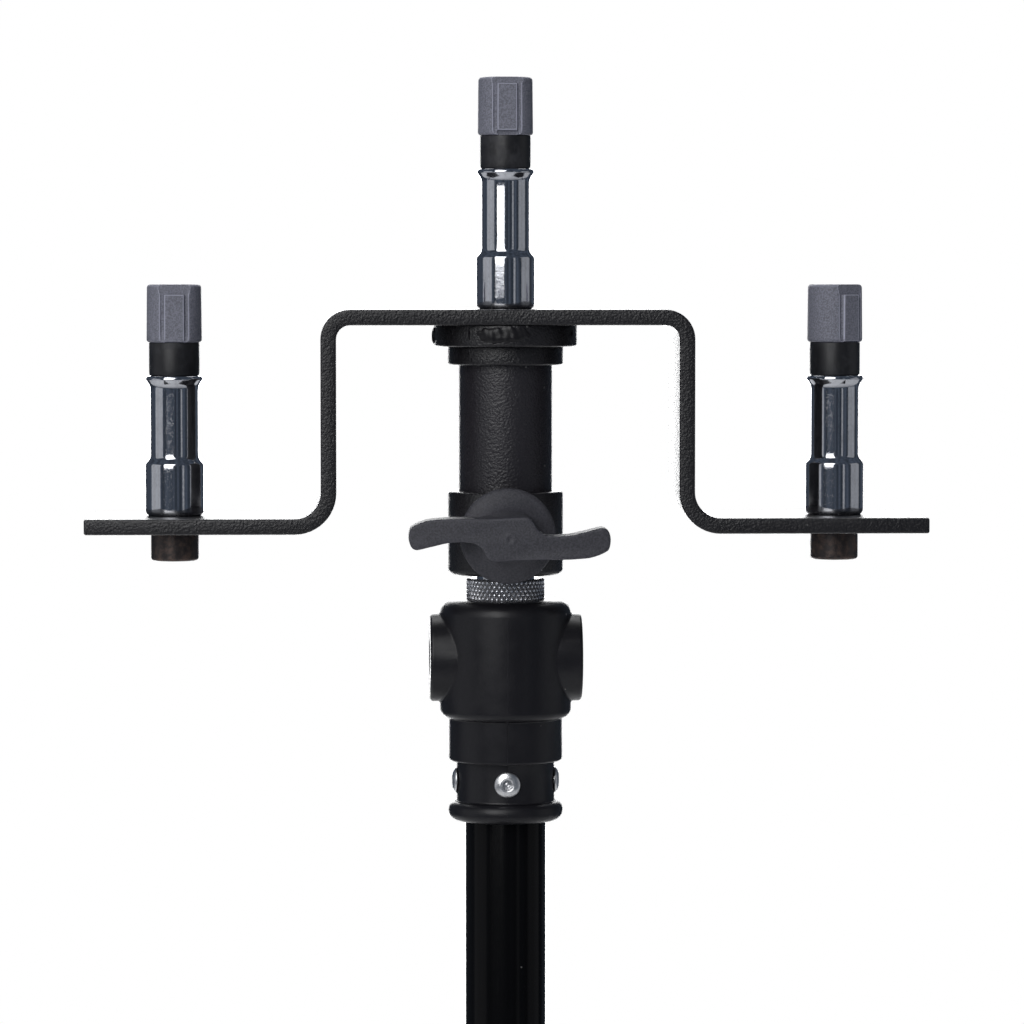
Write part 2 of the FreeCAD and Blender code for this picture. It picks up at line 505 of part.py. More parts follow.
def receiver():
    """The disk, rings and sleeve welded under the bracket."""
    bore, low = BABY_R + RUN, RING_BOTTOM
    disk_z = PLATE_BOTTOM - DISK_H
    ring_z = disk_z - TOP_RING_H
    inner = SLEEVE_R + FIT
    save("bracket_disk", turned([(bore, disk_z), (DISK_R, disk_z, RING_EDGE_R),
                                 (DISK_R, PLATE_BOTTOM, WELD_EDGE_R), (bore, PLATE_BOTTOM)]))
    save("sleeve_top_ring", turned([(inner, ring_z), (RING_R, ring_z, RING_EDGE_R),
                                    (RING_R, disk_z, WELD_EDGE_R), (inner, disk_z)]))
    sleeve = turned([(bore + SLEEVE_CHAMFER, low), (SLEEVE_R, low, WELD_EDGE_R), (SLEEVE_R, disk_z),
                     (bore, disk_z), (bore, low + SLEEVE_CHAMFER)])
    save("sleeve_tube", sleeve.cut(screw_hole(CLAMP_Z, RING_R)))
    ring = turned([(inner, low), (RING_R, low, CLAMP_RING_EDGE_R), (RING_R, RING_TOP, RING_EDGE_R),
                   (inner, RING_TOP)])
    save("clamp_ring", ring.cut(screw_hole(CLAMP_Z, RING_R)))
    clamp("head_clamp", RING_R, PIN_NECK_R, CLAMP_Z)


def head():
    save("bracket", bracket())
    receiver()
    for name, (x, base_z, turn, flat_drop, flat_rise) in PINS.items():
        pin_top = base_z + PIN_HEIGHT
        cap_z = pin_top + RUBBER_H
        nut_z = cap_z + RUN
        for part, shape in (("pin", baby_pin(base_z)),
                            ("pin_screw", pin_screw(base_z - PLATE_T, nut_z + INSERT_H - SCREW_SHORT)),
                            ("rubber_bush", rubber_bush(pin_top, cap_z)),
                            ("cap", cap(cap_z, turn, flat_drop, flat_rise)), ("cap_nut", cap_nut(nut_z))):
            save(f"{name}_{part}", placed(shape, Vector(x, 0, 0)))


# ---- legs ----
def leg_route(hub_z):
    """The centre line of a leg along +X: out of its hub, steeply down, then gently down to the foot."""
    slope = math.tan(math.radians(LEG_DROP_ANGLE))
    knee_x = LEG_DROP_START + (hub_z - LEG_KNEE_Z) / slope
    tip = FOOT_WALL - FOOT_EDGE_R
    low, high = 0.0, LEG_KNEE_Z
    while high - low > TOUCH:     # closes in on the height of the tube's end that sets the foot down
        end_z = (low + high) / 2
        fall = math.atan2(LEG_KNEE_Z - end_z, LEG_REACH - knee_x)
        lowest = end_z - tip * math.sin(fall) - (FOOT_R - FOOT_EDGE_R) * math.cos(fall) - FOOT_EDGE_R
        low, high = (end_z, high) if lowest < -FOOT_WEAR else (low, end_z)
    return [(SOCKET_FLOOR + PAST, hub_z), (LEG_DROP_START, hub_z, LEG_BEND_R),
            (knee_x, LEG_KNEE_Z, LEG_BEND_R), (LEG_REACH, end_z)]


def swept(route, radius):
    path = Part.Wire(rounded_edges(route, closed=False))
    ring = Part.Wire(Part.makeCircle(radius, Vector(route[0][0], 0, route[0][1]), Vector(1, 0, 0)))
    return path.makePipeShell([ring], True, False)


def foot(route):
    """A rubber cap over the end of a leg, with a flat worn where it stands."""
    (knee_x, knee_z), (end_x, end_z) = route[2][:2], route[3]
    shape = turned([(0, FOOT_WALL), (FOOT_R, FOOT_WALL, FOOT_EDGE_R),
                    (FOOT_R, FOOT_LIP - FOOT_GRIP, FOOT_LIP_R), (FOOT_R - FOOT_TAPER, -FOOT_GRIP, FOOT_LIP_R),
                    (LEG_R + FIT, -FOOT_GRIP), (LEG_R + FIT, GAP), (0, GAP)])
    fall = math.degrees(math.atan2(knee_z - end_z, end_x - knee_x))
    shape.rotate(ORIGIN, Vector(0, 1, 0), 90 + fall)
    shape.translate(Vector(end_x, 0, end_z))
    room = 2 * FOOT_GRIP
    return shape.common(Part.makeBox(2 * room, 2 * room, 2 * room, Vector(end_x - room, -room, 0)))


def leg_hub(hub_z, clearance):
    """A cast ring round the column with a socket for a leg along +X."""
    low, high = hub_z - HUB_HEIGHT / 2, hub_z + HUB_HEIGHT / 2
    ring = turned([(0, low), (HUB_R, low, HUB_EDGE_R), (HUB_R, high, HUB_EDGE_R), (0, high)])
    length = SOCKET_END - SOCKET_ROOT
    socket = turned([(0, 0), (SOCKET_R, 0), (SOCKET_R, length, HUB_EDGE_R), (0, length)])
    socket = facing(socket, hub_z, SOCKET_ROOT, RIGHT)
    hub = ring.fuse(socket).removeSplitter()
    hub = hub.makeFillet(HUB_EDGE_R, meeting_edges(hub, ring, socket))
    bores = [cylinder(COLUMN_R + clearance, HUB_HEIGHT + 2 * PAST, Vector(0, 0, low - PAST)),
             cylinder(LEG_R + FIT, SOCKET_END, Vector(SOCKET_FLOOR, 0, hub_z), Vector(1, 0, 0))]
    return hub.cut(Part.makeCompound(bores))


def socket_rivets(hub_z):
    """Rivets through the top and bottom of a leg socket, and the holes they need."""
    x = SOCKET_END - LEG_RIVET_INSET
    spots = [(Vector(x, 0, hub_z + SOCKET_R), 0), (Vector(x, 0, hub_z - SOCKET_R), 180)]
    rivets = Part.makeCompound([placed(rivet(), at, 0, tip) for at, tip in spots])
    hole = cylinder(RIVET_R, RIVET_HOLE_DEPTH + 2 * PAST, Vector(0, 0, -RIVET_HOLE_DEPTH - PAST))
    return rivets, Part.makeCompound([placed(hole, at, 0, tip) for at, tip in spots])


def hub_washer(low):
    inner, outer = COLUMN_R + WASHER_PLAY, HUB_R - WASHER_INSET
    return turned([(inner, low + GAP), (outer, low + GAP), (outer, low + WASHER - GAP),
                   (inner, low + WASHER - GAP)])


def lock_ring():
    """The ring that clamps the turned-out legs down against each other, with its screw and knob."""
    low, high = LOCK_RING_Z, LOCK_RING_Z + LOCK_RING_HEIGHT
    knob_z = (low + high) / 2
    foot_r, side_r, top_r = LOCK_EDGES
    bore = COLUMN_R + FIT
    ring = turned([(bore, low), (LOCK_RING_R, low, foot_r), (LOCK_RING_R, high - LOCK_TAPER, side_r),
                   (LOCK_TOP_R, high, top_r), (bore, high)])
    ring = ring.fuse(knob_boss(knob_z, LOCK_BOSS_ROOT, LOCK_BOSS_H)).removeSplitter()
    face_r = LOCK_BOSS_ROOT + LOCK_BOSS_H
    save("leg_lock_ring", ring.cut(screw_hole(knob_z, face_r)))
    clamp("leg_lock", face_r, COLUMN_R, knob_z)


def legs():
    for level, (name, azimuth) in enumerate(LEG_AZIMUTH.items()):
        low = HUB_BOTTOM + level * (HUB_HEIGHT + WASHER)
        hub_z = low + HUB_HEIGHT / 2
        route = leg_route(hub_z)
        rivets, holes = socket_rivets(hub_z)
        outer, inner = swept(route, LEG_R), swept(route, LEG_R - LEG_WALL)
        hub = leg_hub(hub_z, RUN if level else FIT).cut(holes)
        if not level:
            rivet_z = HUB_BOTTOM + HUB_RIVET_RISE
            low_holes = rivet_holes(HUB_R, rivet_z, (BACK, FRONT), HUB_RIVET_DEPTH)
            hub = hub.cut(Part.makeCompound(low_holes))
        for part, shape in (("hub", hub), ("tube", outer.cut(inner).cut(holes)), ("foot", foot(route)),
                            ("rivets", rivets)):
            save(f"{name}_leg_{part}", placed(shape, ORIGIN, azimuth))
    hub_tops = [HUB_BOTTOM + HUB_HEIGHT + k * (HUB_HEIGHT + WASHER) for k in range(len(LEG_AZIMUTH))]
    save("hub_washers", Part.makeCompound([hub_washer(z) for z in hub_tops]))
    lock_ring()


def write():
    os.makedirs("parts", exist_ok=True)
    for name, shape in pieces.items():
        shape.exportStep(f"parts/{name}.step")
        bad = [s for s in shape.Solids if not s.isValid() or s.Volume <= 0]
        note = "  NOT VALID" if bad else ""
        print(f"{name:26s} solids {len(shape.Solids)}  volume {shape.Volume:10.1f}{note}")
    print(f"{len(pieces)} nodes, plate top at z {PLATE_TOP:.2f}")


base_column()
middle_riser()
top_riser()
head()
legs()
write()
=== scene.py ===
import math

import bmesh
import bpy
from mathutils import Matrix, Vector, noise


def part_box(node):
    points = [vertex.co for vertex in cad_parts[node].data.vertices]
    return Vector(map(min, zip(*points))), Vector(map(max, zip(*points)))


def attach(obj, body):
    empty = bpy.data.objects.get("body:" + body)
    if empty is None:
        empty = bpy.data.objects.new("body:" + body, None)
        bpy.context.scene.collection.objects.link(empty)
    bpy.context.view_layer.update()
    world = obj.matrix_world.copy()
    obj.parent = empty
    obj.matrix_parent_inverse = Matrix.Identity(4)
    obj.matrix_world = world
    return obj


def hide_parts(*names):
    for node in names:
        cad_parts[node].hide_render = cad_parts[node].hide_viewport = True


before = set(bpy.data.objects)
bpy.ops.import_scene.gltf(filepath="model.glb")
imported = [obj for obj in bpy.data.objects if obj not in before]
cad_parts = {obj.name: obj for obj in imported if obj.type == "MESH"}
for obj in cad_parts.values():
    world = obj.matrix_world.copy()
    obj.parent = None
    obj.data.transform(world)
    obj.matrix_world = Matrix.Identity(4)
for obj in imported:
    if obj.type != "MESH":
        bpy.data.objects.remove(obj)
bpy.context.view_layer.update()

bl_info = {
    "name": "C-Stand With Pin Bracket",
    "version": (1, 0, 0),
    "blender": (4, 5, 0),
    "location": "3D View > Sidebar > Stand",
    "description": "Dresses the frame of a lighting stand that carries a three-pin bracket",
    "category": "Object",
}

MM = 0.001
SIDES = 96                 # sides of a turned piece
ROUND_STEPS = 4            # steps in a rounded corner
FRONT, RIGHT, BACK, LEFT = -90.0, 0.0, 90.0, 180.0
CAPS = {"left": 2.0, "center": 2.5, "right": 36.0}             # how far each cap is screwed round
CLAMPS = ("head_clamp", "top_riser_clamp", "middle_riser_clamp", "leg_lock")
LEGS = {"short": -90.0, "middle": 30.0, "tall": 150.0}         # the azimuth of each leg
CAP_BORE, CAP_CEILING = 5.25, 10.7                             # the pocket in a cap
BABY_PIN = 7.94                                                # radius of a 5/8 inch pin
LEG_TUBE, LEG_WALL, LEG_BEND = 12.5, 1.8, 38.0                 # radius, wall and bend of a leg
WELDED = 1e-7                                                  # points as near as this are one, in metres


def spans(node):
    """The lowest and highest corner of a CAD node, in millimetres."""
    low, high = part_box(node)
    return Vector(low) / MM, Vector(high) / MM


class StandSizes(bpy.types.PropertyGroup):
    bar: bpy.props.FloatProperty(
        name="Bar thickness", description="Thickness of the bent bar, in millimetres", default=4.2)
    bar_edge: bpy.props.FloatProperty(
        name="Bar edge", description="Rounding along the bar's edges, in millimetres", default=0.6)
    hat_width: bpy.props.FloatProperty(
        name="Hat width", description="Width over the legs of the bent bar, in millimetres", default=100.6)
    upper_bend: bpy.props.FloatProperty(
        name="Upper bend", description="Inside radius of the upper bends, in millimetres", default=3.8)
    lower_bend: bpy.props.FloatProperty(
        name="Lower bend", description="Inside radius of the lower bends, in millimetres", default=7.0)
    knurl_pitch: bpy.props.FloatProperty(
        name="Knurl pitch", description="Width of one diamond of the knurl, in millimetres", default=1.4)
    knurl_depth: bpy.props.FloatProperty(
        name="Knurl depth", description="Depth of the knurl's grooves, in millimetres", default=0.42)
    weld: bpy.props.FloatProperty(
        name="Weld size", description="Half the height of the weld bead, in millimetres", default=2.2)
    thread_pitch: bpy.props.FloatProperty(
        name="Thread pitch", description="Pitch of the clamp screws, in millimetres", default=1.25)


def colour(name, description, default):
    """A colour setting of the add-on."""
    return bpy.props.FloatVectorProperty(
        name=name, description=description, default=default, subtype="COLOR", size=3, min=0, max=1)


class StandColours(bpy.types.PropertyGroup):
    powder_coat: colour(
        "Powder coat", "Textured coat of the bar and the receiver", (0.0072, 0.0064, 0.0080))
    cast_paint: colour("Cast paint", "Paint of the castings and collars", (0.0105, 0.010, 0.0125))
    tube_paint: colour("Tube paint", "Gloss paint of the tubes", (0.0035, 0.0035, 0.0040))
    chrome: colour("Chrome", "Plating of the pins", (0.68, 0.69, 0.73))
    cap: colour("Cap plastic", "Moulded caps of the pins", (0.200, 0.203, 0.245))
    knob: colour("Knob plastic", "Moulded wing knobs", (0.060, 0.059, 0.069))
    rubber: colour("Rubber", "Bushes and feet", (0.012, 0.012, 0.014))
    rivet: colour("Rivets", "Blind rivets", (0.86, 0.86, 0.87))
    oxide: colour("Black oxide", "Screw heads under the bar", (0.085, 0.071, 0.069))
    zinc: colour("Zinc plate", "Clamp screws and washers", (0.58, 0.59, 0.62))
    nylon: colour("Nylon", "Guide bushes and washers", (0.60, 0.59, 0.54))
    brass: colour("Brass", "Nuts moulded into the caps", (0.70, 0.50, 0.22))


# ---- shader nodes ----
class Wire:
    """One output socket, so that shader maths can be written as sums."""

    def __init__(self, kit, socket):
        self.kit = kit
        self.socket = socket

    def _sum(self, operation, first, second):
        return self.kit.node("ShaderNodeMath", {"operation": operation}, {0: first, 1: second})

    def __add__(self, other):
        return self._sum("ADD", self, other)

    def __sub__(self, other):
        return self._sum("SUBTRACT", self, other)

    def __mul__(self, other):
        return self._sum("MULTIPLY", self, other)

    def __rsub__(self, other):
        return self._sum("SUBTRACT", other, self)

    __radd__ = __add__
    __rmul__ = __mul__


class Finish:
    """A material being put together."""

    def __init__(self, name):
        self.material = bpy.data.materials.new(name)
        self.material.use_nodes = True
        self.tree = self.material.node_tree
        self.tree.nodes.clear()
        self.place = self.node("ShaderNodeTexCoord", output="Object")

    def node(self, kind, settings=None, inputs=None, output=0):
        """Adds a node, sets it, feeds it with values or wires, and gives the wire of its output."""
        made = self.tree.nodes.new(kind)
        for key, value in (settings or {}).items():
            setattr(made, key, value)
        for key, value in (inputs or {}).items():
            if isinstance(value, Wire):
                self.tree.links.new(value.socket, made.inputs[key])
            else:
                made.inputs[key].default_value = value
        return Wire(self, made.outputs[output])

    def noise(self, size, detail=2.0, rough=0.5, at=None, stretch=None):
        """Noise with features of a size in millimetres, squeezed along an axis by stretch."""
        where = at or self.place
        if stretch:
            where = self.node("ShaderNodeMapping", None, {"Vector": where, "Scale": stretch})
        return self.node("ShaderNodeTexNoise", None, {
            "Vector": where, "Scale": 1 / (size * MM), "Detail": detail, "Roughness": rough})

    def cells(self, size, feature="F1", spread=1.0, output="Distance"):
        """Voronoi cells of a size in millimetres."""
        return self.node("ShaderNodeTexVoronoi", {"feature": feature}, {
            "Vector": self.place, "Scale": 1 / (size * MM), "Randomness": spread}, output)

    def between(self, value, low, high):
        """0 below low, 1 above high, smooth between."""
        return self.node("ShaderNodeMapRange", {"interpolation_type": "SMOOTHSTEP"}, {
            "Value": value, "From Min": low, "From Max": high})

    def blend(self, amount, first, second):
        """The first colour, going over to the second by an amount of 0 to 1."""
        return self.node("ShaderNodeMix", {"data_type": "RGBA"}, {0: amount, 6: first, 7: second}, 2)

    def edge_wear_and_highlight(self):
        """How far a point stands out on an edge, from the piece's own mesh: the mask for edge wear and a
        painted edge highlight.
        """
        return self.node("ShaderNodeAttribute", {"attribute_name": "edge"}, output="Fac")

    def specks(self, size, share):
        """Small dots, in that share of cells."""
        near = 1 - self.between(self.cells(size), 0.10, 0.16)
        pick = self.node("ShaderNodeSeparateColor", None, {0: self.cells(size, output="Color")}, 0)
        return near * self.between(pick, 1 - share, 1 - share + 0.01)

    def bumps(self, height, depth, normal=None):
        """A normal roughened by a height of 0 to 1, to a depth in millimetres."""
        inputs = {"Height": height, "Distance": depth * MM, "Strength": 1.0}
        if normal:
            inputs["Normal"] = normal
        return self.node("ShaderNodeBump", None, inputs)

    def done(self, **sockets):
        """Closes the material with a principled shader, whose sockets are named with underscores."""
        names = {key.replace("_", " "): value for key, value in sockets.items()}
        shader = self.node("ShaderNodeBsdfPrincipled", None, names)
        end = self.tree.nodes.new("ShaderNodeOutputMaterial")
        self.tree.links.new(shader.socket, end.inputs["Surface"])
        return self.material


def rgba(rgb, gain=1.0):
    """A colour made lighter or darker, as the four numbers that a socket takes."""
    return (rgb[0] * gain, rgb[1] * gain, rgb[2] * gain, 1.0)


def powder_coat(rgb):
    """A fine leathery powder coat with the odd speck of dust."""
    f = Finish("textured powder coat")
    grain = f.noise(0.50, 3.0, 0.6)
    wrinkle = f.cells(0.62, "SMOOTH_F1")
    height = grain * 0.6 + wrinkle * 0.55
    cloud = f.noise(14.0, 3.0)
    tone = f.blend(cloud, rgba(rgb, 0.82), rgba(rgb, 1.18))
    tone = f.blend(f.between(grain, 0.45, 0.70) * 0.5, tone, rgba(rgb, 2.0))
    # edges painted lighter: rubbed wear together with a painted edge highlight
    tone = f.blend(f.between(f.edge_wear_and_highlight(), 0.10, 0.45) * 0.5, tone, rgba(rgb, 4.5))
    tone = f.blend(f.specks(2.6, 0.05) * 0.5, tone, (0.30, 0.29, 0.28, 1))
    return f.done(Base_Color=tone, Roughness=0.26 + 0.18 * grain, Specular_IOR_Level=0.62,
                  Normal=f.bumps(height, 0.24))


def cast_paint(rgb):
    """Satin paint over a casting: faint orange peel, dust, and edges lighter from thin paint and a painted
    edge highlight.
    """
    f = Finish("satin paint on castings")
    peel = f.noise(2.6, 2.0, 0.45)
    grain = f.noise(0.5, 2.0)
    tone = f.blend(f.noise(18.0, 3.0), rgba(rgb, 0.8), rgba(rgb, 1.25))
    # edges painted lighter: thin paint together with a painted edge highlight
    tone = f.blend(f.between(f.edge_wear_and_highlight(), 0.12, 0.5) * 0.30, tone, rgba(rgb, 4.0))
    tone = f.blend(f.specks(3.2, 0.07) * 0.7, tone, (0.42, 0.40, 0.38, 1))
    smear = f.between(f.noise(9.0, 4.0, 0.6), 0.42, 0.66)
    return f.done(Base_Color=tone, Roughness=0.31 + 0.10 * smear + 0.06 * grain, Specular_IOR_Level=0.38,
                  Normal=f.bumps(peel * 0.8 + grain * 0.2, 0.05))


def tube_paint(rgb):
    """Gloss paint on drawn tube, with faint lengthwise rub marks."""
    f = Finish("gloss paint on tube")
    rubs = f.noise(0.9, 3.0, 0.6, stretch=(1, 1, 0.02))
    tone = f.blend(f.noise(40.0, 2.0), rgba(rgb, 0.8), rgba(rgb, 1.3))
    tone = f.blend(f.specks(2.0, 0.02) * 0.4, tone, (0.30, 0.29, 0.28, 1))
    marks = f.between(rubs, 0.60, 0.78)
    return f.done(Base_Color=tone, Roughness=0.12 + 0.14 * marks + 0.05 * f.noise(25.0),
                  Specular_IOR_Level=0.12, Normal=f.bumps(f.noise(5.0, 1.0), 0.02))


def chrome(rgb):
    """Bright plating over a turned pin: faint turning lines, small ripples and handling smears."""
    f = Finish("chrome plate")
    lines = f.noise(0.16, 1.0, 0.5, stretch=(0.04, 0.04, 1))
    ripple = f.noise(1.3, 3.0, 0.6)
    smear = f.between(f.noise(5.0, 4.0, 0.65), 0.42, 0.70)
    mottle = f.between(f.noise(0.55, 3.0, 0.7), 0.48, 0.62)
    tone = f.blend(smear * 0.25 + mottle * 0.22, rgba(rgb), rgba(rgb, 0.62))
    return f.done(Base_Color=tone, Metallic=1.0, Roughness=0.05 + 0.05 * smear + 0.09 * mottle,
                  Normal=f.bumps(lines * 0.12 + ripple * 0.4, 0.016))


def knurled_steel(rgb):
    """The same plating where it is knurled: rougher in the grooves, with painted shade darkening the
    grooves and a painted highlight lightening the ridges.
    """
    f = Finish("knurled steel")
    groove = f.node("ShaderNodeAttribute", {"attribute_name": "groove"}, output="Fac")
    # painted shade in the grooves and a painted highlight on the ridges
    tone = f.blend(groove, rgba(rgb, 1.3), (0.060, 0.056, 0.056, 1))
    return f.done(Base_Color=tone, Metallic=1.0 - 0.6 * groove, Roughness=0.16 + 0.4 * groove,
                  Normal=f.bumps(f.noise(0.5, 2.0), 0.02))


def moulded(name, rgb, grain_size, depth, gain=1.7):
    """Moulded plastic with the fine grain of an eroded mould, paler on the edges by the gain: rubbed wear
    and a painted edge highlight.
    """
    f = Finish(name)
    grain = f.noise(grain_size, 3.0, 0.7)
    tone = f.blend(f.between(grain, 0.34, 0.66), rgba(rgb, 0.72), rgba(rgb, 1.30))
    tone = f.blend(f.between(f.noise(7.0, 4.0, 0.6), 0.5, 0.75) * 0.25, tone, rgba(rgb, 1.35))
    # edges painted lighter by the gain: rubbed wear together with a painted edge highlight
    tone = f.blend(f.between(f.edge_wear_and_highlight(), 0.08, 0.42) * 0.7, tone, rgba(rgb, gain))
    return f.done(Base_Color=tone, Roughness=0.50 + 0.18 * grain, Specular_IOR_Level=0.42,
                  Normal=f.bumps(grain, depth))


def rubber(rgb):
    """Black rubber with a faint bloom and scuffs."""
    f = Finish("black rubber")
    bloom = f.between(f.noise(4.0, 4.0, 0.65), 0.45, 0.75)
    scuff = f.between(f.noise(0.5, 2.0, 0.5, stretch=(1, 1, 0.15)), 0.62, 0.75)
    tone = f.blend(bloom * 0.6 + scuff * 0.25, rgba(rgb), rgba(rgb, 3.4))
    return f.done(Base_Color=tone, Roughness=0.38 + 0.25 * bloom,
                  Normal=f.bumps(f.noise(0.7, 3.0, 0.6), 0.03))


def rivet_metal(rgb):
    """Bare aluminium with fine pressing marks."""
    f = Finish("rivet aluminium")
    rings = f.noise(0.35, 2.0, 0.6)
    tone = f.blend(f.between(f.noise(1.5, 3.0), 0.5, 0.8), rgba(rgb), rgba(rgb, 0.75))
    return f.done(Base_Color=tone, Metallic=1.0, Roughness=0.24 + 0.16 * rings, Normal=f.bumps(rings, 0.02))


def oxide_steel(rgb):
    """Oiled black oxide, mottled brown."""
    f = Finish("black oxide steel")
    stain = f.between(f.noise(2.2, 4.0, 0.65), 0.40, 0.70)
    tone = f.blend(stain, rgba(rgb, 0.75), (rgb[0] * 1.9, rgb[1] * 1.6, rgb[2] * 1.35, 1))
    # edges painted lighter: rubbed wear together with a painted edge highlight
    tone = f.blend(f.between(f.edge_wear_and_highlight(), 0.12, 0.45) * 0.4, tone, rgba(rgb, 3.5))
    return f.done(Base_Color=tone, Metallic=0.55, Roughness=0.34 + 0.22 * stain,
                  Normal=f.bumps(f.noise(0.4, 3.0, 0.6), 0.025))


def plated(name, rgb, rough):
    """Plain plated or turned metal with fine tool marks."""
    f = Finish(name)
    marks = f.noise(0.3, 2.0, 0.55)
    tone = f.blend(f.noise(5.0, 3.0), rgba(rgb, 0.85), rgba(rgb, 1.1))
    return f.done(Base_Color=tone, Metallic=1.0, Roughness=rough + 0.14 * marks,
                  Normal=f.bumps(marks, 0.015))


FINISHES = {}


def mix_finishes(colours):
    """Makes every finish once."""
    FINISHES.update({
        "textured_powder_coat": powder_coat(colours.powder_coat),
        "smooth_powder_coat": cast_paint(colours.powder_coat),
        "satin_black_paint": cast_paint(colours.cast_paint),
        "gloss_black_paint": tube_paint(colours.tube_paint),
        "chrome_plate": chrome(colours.chrome),
        "knurled_steel": knurled_steel(colours.chrome),
        # the caps' edge gain of 2.8 paints a bright highlight along the rib edges, on top of rubbed wear
        "grey_moulded_plastic": moulded("cap plastic", colours.cap, 0.42, 0.05, 2.8),
        "dark_moulded_plastic": moulded("knob plastic", colours.knob, 0.50, 0.05, 1.9),
        "black_rubber": rubber(colours.rubber),
        "rivet_aluminium": rivet_metal(colours.rivet),
        "black_oxide_steel": oxide_steel(colours.oxide),
        "zinc_steel": plated("zinc plate", colours.zinc, 0.26),
        "brass": plated("brass", colours.brass, 0.24),
        "nylon": moulded("nylon", colours.nylon, 0.8, 0.02, 1.1),
    })


# ---- shaping ----
def turned(corners, sides=SIDES, rows=()):
    """A shape turned about Z from (radius, height, rounding) corners in millimetres.

    It is closed on itself, or on the axis where the first and last radius are 0. Rows are extra heights
    at which it is cut."""
    bm = bmesh.new()
    verts = [bm.verts.new((c[0] * MM, 0, c[1] * MM)) for c in corners]
    pairs = list(zip(verts, verts[1:]))
    if corners[0][0] or corners[-1][0]:
        pairs.append((verts[-1], verts[0]))
    for pair in pairs:
        bm.edges.new(pair)
    for vert, corner in zip(verts, corners):
        if len(corner) > 2:
            bmesh.ops.bevel(bm, geom=[vert], offset=corner[2] * MM, offset_type="ABSOLUTE",
                            segments=ROUND_STEPS, profile=0.5, affect="VERTICES", material=-1)
    for height in rows:
        bmesh.ops.bisect_plane(bm, geom=bm.verts[:] + bm.edges[:], plane_co=(0, 0, height * MM),
                               plane_no=(0, 0, 1), dist=WELDED)
    bmesh.ops.spin(bm, geom=bm.verts[:] + bm.edges[:], cent=(0, 0, 0), axis=(0, 0, 1), dvec=(0, 0, 0),
                   angle=math.tau, steps=sides, use_merge=True)
    bmesh.ops.remove_doubles(bm, verts=bm.verts[:], dist=WELDED)
    return bm


def only(kind, geometry):
    """The items of one kind out of what a bmesh operator gives back."""
    return [item for item in geometry if isinstance(item, kind)]


def placed(bm, matrix):
    """The shape after it is moved and turned."""
    bmesh.ops.transform(bm, matrix=matrix, verts=bm.verts[:])
    return bm


def shift(x=0.0, y=0.0, z=0.0):
    """A move in millimetres."""
    return Matrix.Translation(Vector((x, y, z)) * MM)


def spun(degrees, axis="Z"):
    """A turn about an axis."""
    return Matrix.Rotation(math.radians(degrees), 4, axis)


def facing(azimuth, radius, height):
    """Turns a shape's own Z to point out of the column, and moves it out there."""
    return spun(azimuth - FRONT) @ shift(0, -radius, height) @ spun(90, "X")


def gathered(parts):
    """Several shapes as one."""
    whole = bmesh.new()
    for part in parts:
        sheet = bpy.data.meshes.new("part")
        part.to_mesh(sheet)
        part.free()
        whole.from_mesh(sheet)
        bpy.data.meshes.remove(sheet)
    return whole


def settled(bm, *modifiers):
    """The shape after modifiers, each a type and its settings."""
    mesh = bpy.data.meshes.new("blank")
    bmesh.ops.recalc_face_normals(bm, faces=bm.faces[:])
    bm.to_mesh(mesh)
    bm.free()
    blank = bpy.data.objects.new("blank", mesh)
    bpy.context.scene.collection.objects.link(blank)
    for kind, settings in modifiers:
        modifier = blank.modifiers.new(kind, kind)
        for key, value in settings.items():
            setattr(modifier, key, value)
    shaped = bmesh.new()
    shaped.from_object(blank, bpy.context.evaluated_depsgraph_get())
    bpy.data.objects.remove(blank)
    bpy.data.meshes.remove(mesh)
    return shaped


def store(mesh, name, values):
    """Gives each vertex a number that a finish can read."""
    mesh.attributes.new(name, "FLOAT", "POINT").data.foreach_set("value", values)


def note_edges(mesh):
    """Stores how far each vertex stands out of its neighbours, for the edge wear and the painted edge
    highlight.
    """
    bm = bmesh.new()
    bm.from_mesh(mesh)
    out = []
    for vert in bm.verts:
        slopes = [-(e.other_vert(vert).co - vert.co).normalized().dot(vert.normal) for e in vert.link_edges]
        out.append(max(0.0, max(slopes, default=0.0)) if min(slopes, default=0.0) > -0.05 else 0.0)
    bm.free()
    store(mesh, "edge", out)


def keep(bm, name, body, finish, replaces=(), sharp=32.0, outward=True, groove=None):
    """Makes a shape a piece of the stand that rides on a body and stands for CAD nodes."""
    bmesh.ops.remove_doubles(bm, verts=bm.verts[:], dist=WELDED)
    if outward:
        bmesh.ops.recalc_face_normals(bm, faces=bm.faces[:])
    mesh = bpy.data.meshes.new(name)
    bm.to_mesh(mesh)
    bm.free()
    mesh.shade_smooth()
    mesh.set_sharp_from_angle(angle=math.radians(sharp))
    note_edges(mesh)
    if groove:
        store(mesh, "groove", [groove(v.co / MM) for v in mesh.vertices])
    piece = bpy.data.objects.new(name, mesh)
    bpy.context.scene.collection.objects.link(piece)
    mesh.materials.append(FINISHES[finish])
    if replaces:
        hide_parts(*replaces)
    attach(piece, body)
    return piece


def copy_of(node):
    """A merged copy of a CAD node's mesh."""
    bm = bmesh.new()
    bm.from_mesh(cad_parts[node].data)
    bmesh.ops.remove_doubles(bm, verts=bm.verts[:], dist=1e-6)
    return bm


def refined(node, body, finish, sharp=32.0, extra=()):
    """A CAD node's own shape with smooth shading, and any detail that goes on it."""
    bm = copy_of(node)
    if extra:
        bm = gathered([bm, *extra])
    return keep(bm, node + "_finished", body, finish, (node,), sharp=sharp, outward=False)


